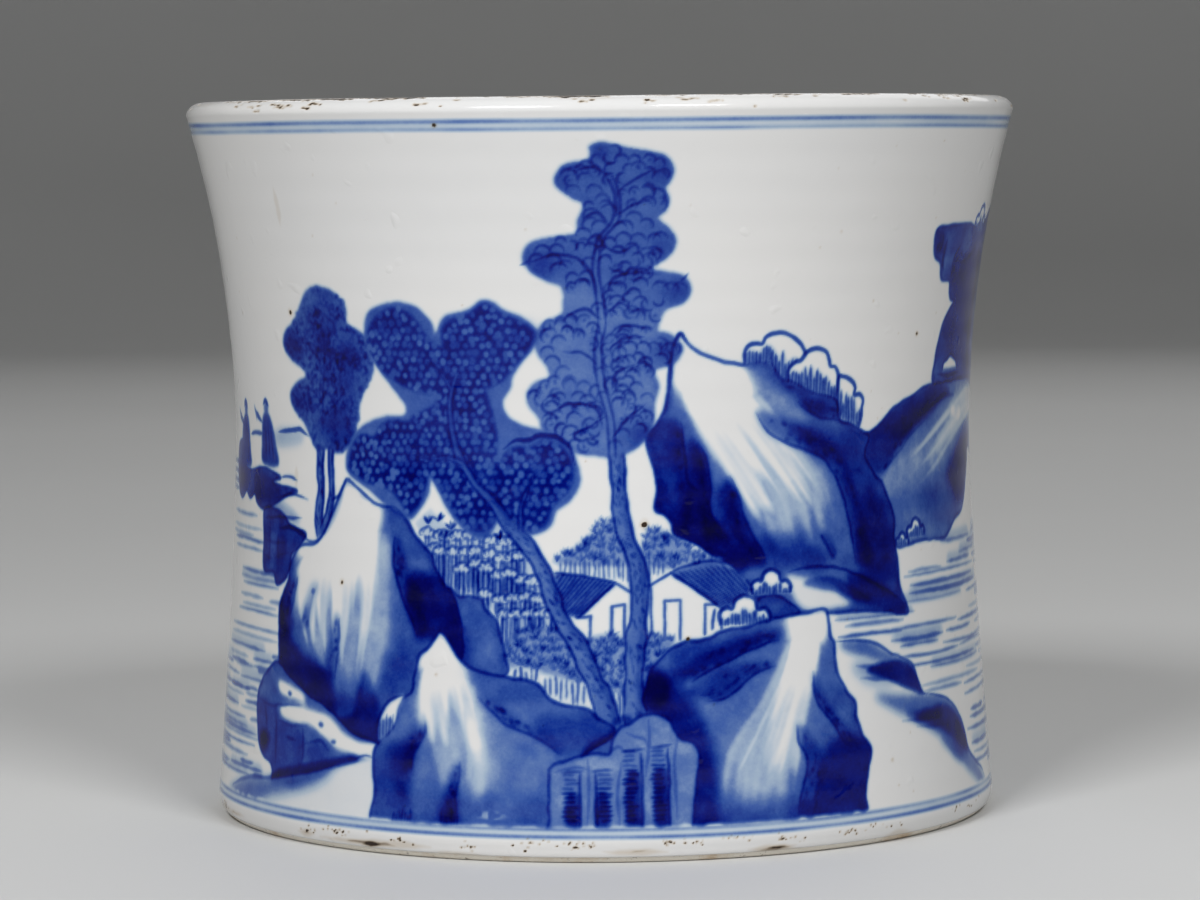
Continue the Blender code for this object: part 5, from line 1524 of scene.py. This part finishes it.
def paint_flaws(brown, bare):
    """Iron spots, the fritted lip, the pitted foot and faint tan stains."""
    crown = math.pi * math.sqrt((WALL_THICKNESS**2 / 4 + CROWN_RISE**2) / 2)
    half_span = SPAN / 2
    # Iron spots that show, each in a faint halo, then faint runs down the glaze and fine specks all over.
    for s, h, size, amount in ((8.6, 70, 0.62, 1.0), (-61, 56.6, 0.45, 0.7), (17.4, 46.2, 0.42, 0.8),
                               (-76.4, 113.4, 0.5, 0.8), (-32, 153, 0.42, 0.8), (78.8, 107.6, 0.4, 0.7),
                               (-36, 38.6, 0.3, 0.35), (66, 17.5, 0.4, 0.3), (52, 130, 0.25, 0.3)):
        speck(brown, s, h, size, amount)
        speck(brown, s, h, size * 2.2, amount * 0.16)
    for s, h, length in ((-76, 136, 4.5), (-77.5, 78, 2.5), (120, 110, 3.0), (-170, 100, 3.5)):
        stroke(brown, [(s, h + length), (s + 0.4, h), (s + 0.1, h - length)], 1.5, 0.13, taper=0.4)
    for _ in range(170):
        speck(brown, rng.uniform(-half_span, half_span), rng.uniform(10, 150), rng.uniform(0.08, 0.2),
              rng.uniform(0.15, 0.5))
    # The lip's frits: from which to which share of the way over the crown, how many groups, the most specks
    # in a group, and their size. Pale smears lie between them.
    for low, high, groups, most, typical in (
            (0.36, 0.5, 130, 24, 0.21), (0.06, 0.34, 80, 6, 0.16), (0.5, 0.8, 20, 6, 0.16)):
        for _ in range(groups):
            s = rng.uniform(-half_span, half_span)
            level = LIP_BASE + crown * rng.uniform(low, high)
            for _ in range(rng.integers(1, most)):
                s += rng.uniform(0.3, 1.1)
                h = level + rng.normal(0, 0.2)
                size = typical * rng.uniform(0.65, 1.35)
                speck(brown, s, h, size, rng.uniform(0.35, 0.85), stretch=rng.uniform(1.2, 3.6))
                speck(bare, s, h, size, 1.0, stretch=rng.uniform(1, 2))
    for _ in range(20):
        s = rng.uniform(-half_span, half_span)
        level = LIP_BASE + crown * rng.uniform(0.2, 0.5)
        stroke(brown, [(s, level), (s + rng.uniform(4, 16), level + rng.normal(0, 0.4))],
               rng.uniform(0.6, 1.4), rng.uniform(0.05, 0.12), taper=0.4)
    # Pits round the foot, and tan stains with a darker heart on its edge.
    for _ in range(56):
        middle = rng.uniform(-half_span, half_span)
        level = rng.uniform(3.0, 4.9)
        for _ in range(rng.integers(1, 10)):
            s = middle + rng.normal(0, 1.6)
            h = level + rng.normal(0, 0.35)
            size = rng.uniform(0.09, 0.21)
            speck(brown, s, h, size, rng.uniform(0.35, 1.1))
            speck(bare, s, h, size * 0.8, 0.7)
    for _ in range(30):
        s = rng.uniform(-half_span, half_span)
        length = rng.uniform(4, 22)
        level = rng.uniform(1.0, 2.7)
        stroke(brown, [(s, level), (s + length, level + rng.normal(0, 0.3))], rng.uniform(1.0, 2.4),
               rng.uniform(0.16, 0.27), taper=0.4, soft=0.7)
        stroke(brown, [(s + length * 0.4, level), (s + length * rng.uniform(0.5, 0.8), level + 0.1)], 0.35,
               rng.uniform(0.05, 0.3), taper=0.4)


# ----------------------------------------------------------------------------------------------------------
# Materials
# ----------------------------------------------------------------------------------------------------------


def linear(red, green, blue):
    """A linear colour from display values out of 255."""
    shares = [value / 255 for value in (red, green, blue)]
    return tuple(v / 12.92 if v <= 0.04045 else ((v + 0.055) / 1.055) ** 2.4 for v in shares) + (1.0,)


# What amount of cobalt shows as what colour under the glaze, as display values.
COBALT_FULL = 1.5
COBALT_TONES = ((0.0, (220, 219, 217)), (0.05, (182, 195, 208)), (0.1, (161, 179, 199)),
                (0.17, (125, 148, 186)), (0.25, (87, 115, 171)), (0.34, (62, 93, 163)),
                (0.46, (38, 71, 150)), (0.6, (14, 44, 137)), (0.8, (0, 15, 114)), (1.0, (0, 2, 90)),
                (1.25, (0, 0, 66)), (1.5, (0, 0, 48)))


class Nodes:
    """A material's nodes, made and joined with short calls."""

    def __init__(self, name):
        self.material = bpy.data.materials.new(name)
        self.material.use_nodes = True
        self.tree = self.material.node_tree
        self.shader = self.tree.nodes["Principled BSDF"]
        place = self.tree.nodes.new("ShaderNodeTexCoord")
        self.place = place.outputs["Object"]

    def join(self, value, socket):
        if isinstance(value, bpy.types.NodeSocket):
            self.tree.links.new(value, socket)
        else:
            socket.default_value = value

    def attribute(self, name):
        node = self.tree.nodes.new("ShaderNodeAttribute")
        node.attribute_name = name
        return node.outputs["Fac"]

    def maths(self, operation, *values, clamp=False):
        node = self.tree.nodes.new("ShaderNodeMath")
        node.operation = operation
        node.use_clamp = clamp
        for value, socket in zip(values, node.inputs):
            self.join(value, socket)
        return node.outputs[0]

    def noise(self, scale, detail=2.0, roughness=0.5):
        node = self.tree.nodes.new("ShaderNodeTexNoise")
        node.inputs["Scale"].default_value = scale
        node.inputs["Detail"].default_value = detail
        node.inputs["Roughness"].default_value = roughness
        self.join(self.place, node.inputs["Vector"])
        return node.outputs[0]

    def span(self, value, low, high, new_low, new_high):
        """value moved from the range low to high into new_low to new_high, held at its ends."""
        node = self.tree.nodes.new("ShaderNodeMapRange")
        for given, socket in zip((value, low, high, new_low, new_high), node.inputs):
            self.join(given, socket)
        return node.outputs[0]

    def ramp(self, value, stops):
        node = self.tree.nodes.new("ShaderNodeValToRGB")
        elements = node.color_ramp.elements
        elements[0].position, elements[0].color = stops[0]
        elements[1].position, elements[1].color = stops[-1]
        for position, colour in stops[1:-1]:
            elements.new(position).color = colour
        self.join(value, node.inputs[0])
        return node.outputs[0]

    def mix(self, share, first, second, blend="MIX"):
        node = self.tree.nodes.new("ShaderNodeMix")
        node.data_type = "RGBA"
        node.blend_type = blend
        self.join(share, node.inputs["Factor"])
        self.join(first, node.inputs[6])
        self.join(second, node.inputs[7])
        return node.outputs[2]

    def bump(self, height, strength, distance, after=None):
        node = self.tree.nodes.new("ShaderNodeBump")
        node.inputs["Strength"].default_value = strength
        node.inputs["Distance"].default_value = distance
        self.join(height, node.inputs["Height"])
        if after is not None:
            self.join(after, node.inputs["Normal"])
        return node.outputs[0]

    def finish(self, **inputs):
        for label, value in inputs.items():
            self.join(value, self.shader.inputs[label.replace("_", " ")])
        return self.material


def white_glaze(nodes):
    """The white of glazed porcelain: faintly warm or blue-grey in broad clouds."""
    clouds = nodes.span(nodes.noise(14, 3), 0.35, 0.65, 0, 1)
    return nodes.mix(clouds, linear(225, 225, 226), linear(219, 221, 225))


def glaze_surface(nodes, bare):
    """Roughness and bump of the glaze: glossy with a faint orange peel, dull where it is chipped."""
    gloss = nodes.span(nodes.noise(40, 3), 0.3, 0.7, 0.07, 0.14)
    roughness = nodes.maths("ADD", gloss, nodes.maths("MULTIPLY", bare, 0.5), clamp=True)
    pimples = nodes.span(nodes.noise(190, 1), 0.7, 0.8, 0, 1)
    peel = nodes.bump(nodes.noise(900, 2), 0.06, 0.0002)
    lumps = nodes.bump(nodes.noise(120, 2), 0.05, 0.001, after=peel)
    return roughness, nodes.bump(pimples, 0.4, 0.0002, after=lumps)


def painted_material():
    nodes = Nodes("painted_glaze")
    fine = nodes.span(nodes.noise(1500, 3, 0.6), 0.3, 0.7, 0.93, 1.07)
    cloudy = nodes.span(nodes.noise(260, 3), 0.3, 0.7, 0.92, 1.08)
    deposit = nodes.maths("MULTIPLY", nodes.attribute("cobalt"), nodes.maths("MULTIPLY", fine, cloudy))
    share = nodes.maths("DIVIDE", deposit, COBALT_FULL, clamp=True)
    tones = nodes.ramp(share, [(level / COBALT_FULL, linear(*tone)) for level, tone in COBALT_TONES])
    paint = nodes.mix(1.0, tones, nodes.mix(0.5, white_glaze(nodes), linear(255, 255, 255)), "MULTIPLY")
    brown = nodes.attribute("brown")
    tan = nodes.mix(nodes.maths("MULTIPLY", brown, 1.6, clamp=True), paint, linear(202, 176, 134), "MULTIPLY")
    iron = nodes.mix(nodes.span(brown, 0.28, 0.6, 0, 1), tan, linear(48, 38, 32))
    roughness, normal = glaze_surface(nodes, nodes.attribute("bare"))
    return nodes.finish(Base_Color=iron, Roughness=roughness, Normal=normal, IOR=1.26)


def plain_material():
    nodes = Nodes("plain_glaze")
    dust = nodes.span(nodes.noise(30, 4, 0.6), 0.45, 0.8, 0, 0.35)
    colour = nodes.mix(dust, white_glaze(nodes), linear(198, 194, 182))
    specks = nodes.span(nodes.noise(420, 1), 0.74, 0.78, 0, 0.8)
    colour = nodes.mix(specks, colour, linear(92, 66, 44))
    roughness, normal = glaze_surface(nodes, nodes.maths("MULTIPLY", specks, 0.6))
    return nodes.finish(Base_Color=colour, Roughness=roughness, Normal=normal, IOR=1.5)


def clay_material():
    nodes = Nodes("porcelain_clay")
    stain = nodes.span(nodes.noise(60, 5, 0.65), 0.5, 0.68, 0, 0.75)
    colour = nodes.mix(stain, linear(226, 220, 208), linear(184, 152, 108))
    soot = nodes.span(nodes.noise(500, 3, 0.7), 0.62, 0.72, 0, 0.7)
    colour = nodes.mix(soot, colour, linear(84, 66, 48))
    grit = nodes.bump(nodes.noise(2200, 3, 0.7), 0.35, 0.0002)
    normal = nodes.bump(nodes.noise(300, 2), 0.25, 0.0004, after=grit)
    return nodes.finish(Base_Color=colour, Roughness=nodes.span(nodes.noise(90, 3), 0.3, 0.7, 0.62, 0.85),
                        Normal=normal)


# ----------------------------------------------------------------------------------------------------------
# Stage: a pale floor that sweeps up all round, soft lights and the camera.
# ----------------------------------------------------------------------------------------------------------


def make_floor():
    flat, sweep, top = 2200.0, 900.0, 2600.0
    angles = np.linspace(-math.pi / 2, 0, 14)
    radius = np.concatenate([[0.02, 200, 800], flat + sweep * np.cos(angles), [flat + sweep]])
    height = np.concatenate([[0, 0, 0], sweep + sweep * np.sin(angles), [top]])
    mesh = turned_mesh("floor", radius[::-1], height[::-1], columns=96)
    floor = bpy.data.objects.new("floor", mesh)
    bpy.context.scene.collection.objects.link(floor)
    nodes = Nodes("floor")
    colour = nodes.mix(nodes.noise(3, 2), linear(196, 196, 195), linear(202, 202, 201))
    mesh.materials.append(nodes.finish(Base_Color=colour, Roughness=0.7))


def make_light(name, place, target, size, power):
    """A soft rectangular light at place that faces target."""
    light = bpy.data.lights.new(name, "AREA")
    light.shape = "RECTANGLE"
    light.size, light.size_y = size
    light.energy = power
    made = bpy.data.objects.new(name, light)
    made.location = place
    made.rotation_euler = (Vector(target) - Vector(place)).to_track_quat("-Z", "Y").to_euler()
    bpy.context.scene.collection.objects.link(made)


def make_lights():
    aim = (0, 0, 0.08)
    make_light("key_softbox", (-0.58, -1.2, 1.1), aim, (0.5, 0.4), 18.8)
    make_light("fill_softbox", (0.58, -1.2, 1.1), aim, (0.5, 0.4), 14.4)
    make_light("top_softbox", (0, 0.1, 1.7), aim, (1.2, 1.2), 1.5)
    make_light("back_softbox", (0.3, 1.5, 1.3), aim, (1.8, 1.2), 8)
    world = bpy.data.worlds.new("studio")
    bpy.context.scene.world = world
    world.use_nodes = True
    world.node_tree.nodes["Background"].inputs["Color"].default_value = (0.9, 0.95, 1.0, 1)
    world.node_tree.nodes["Background"].inputs["Strength"].default_value = 0.045


def make_camera():
    data = bpy.data.cameras.new("camera")
    data.lens = 128.7
    data.sensor_width = 36.0
    camera = bpy.data.objects.new("camera", data)
    pitch, roll = math.radians(4.05), math.radians(-0.5)
    turned = Matrix.Rotation(math.pi / 2 - pitch, 3, "X") @ Matrix.Rotation(roll, 3, "Z")
    camera.rotation_euler = turned.to_euler()
    camera.location = (-0.0006, -0.9663, 0.1482)
    bpy.context.scene.collection.objects.link(camera)
    bpy.context.scene.camera = camera


def main():
    cobalt, brown, bare = Canvas(), Canvas(), Canvas()
    paint_landscape(cobalt)
    paint_flaws(brown, bare)
    plain = plain_material()
    make_outer_skin(cobalt, brown, bare, painted_material())
    make_inner_skin(plain)
    make_base_skin(plain)
    make_clay(clay_material())
    make_floor()
    make_lights()
    make_camera()
    bpy.context.scene.view_settings.view_transform = "Standard"


main()
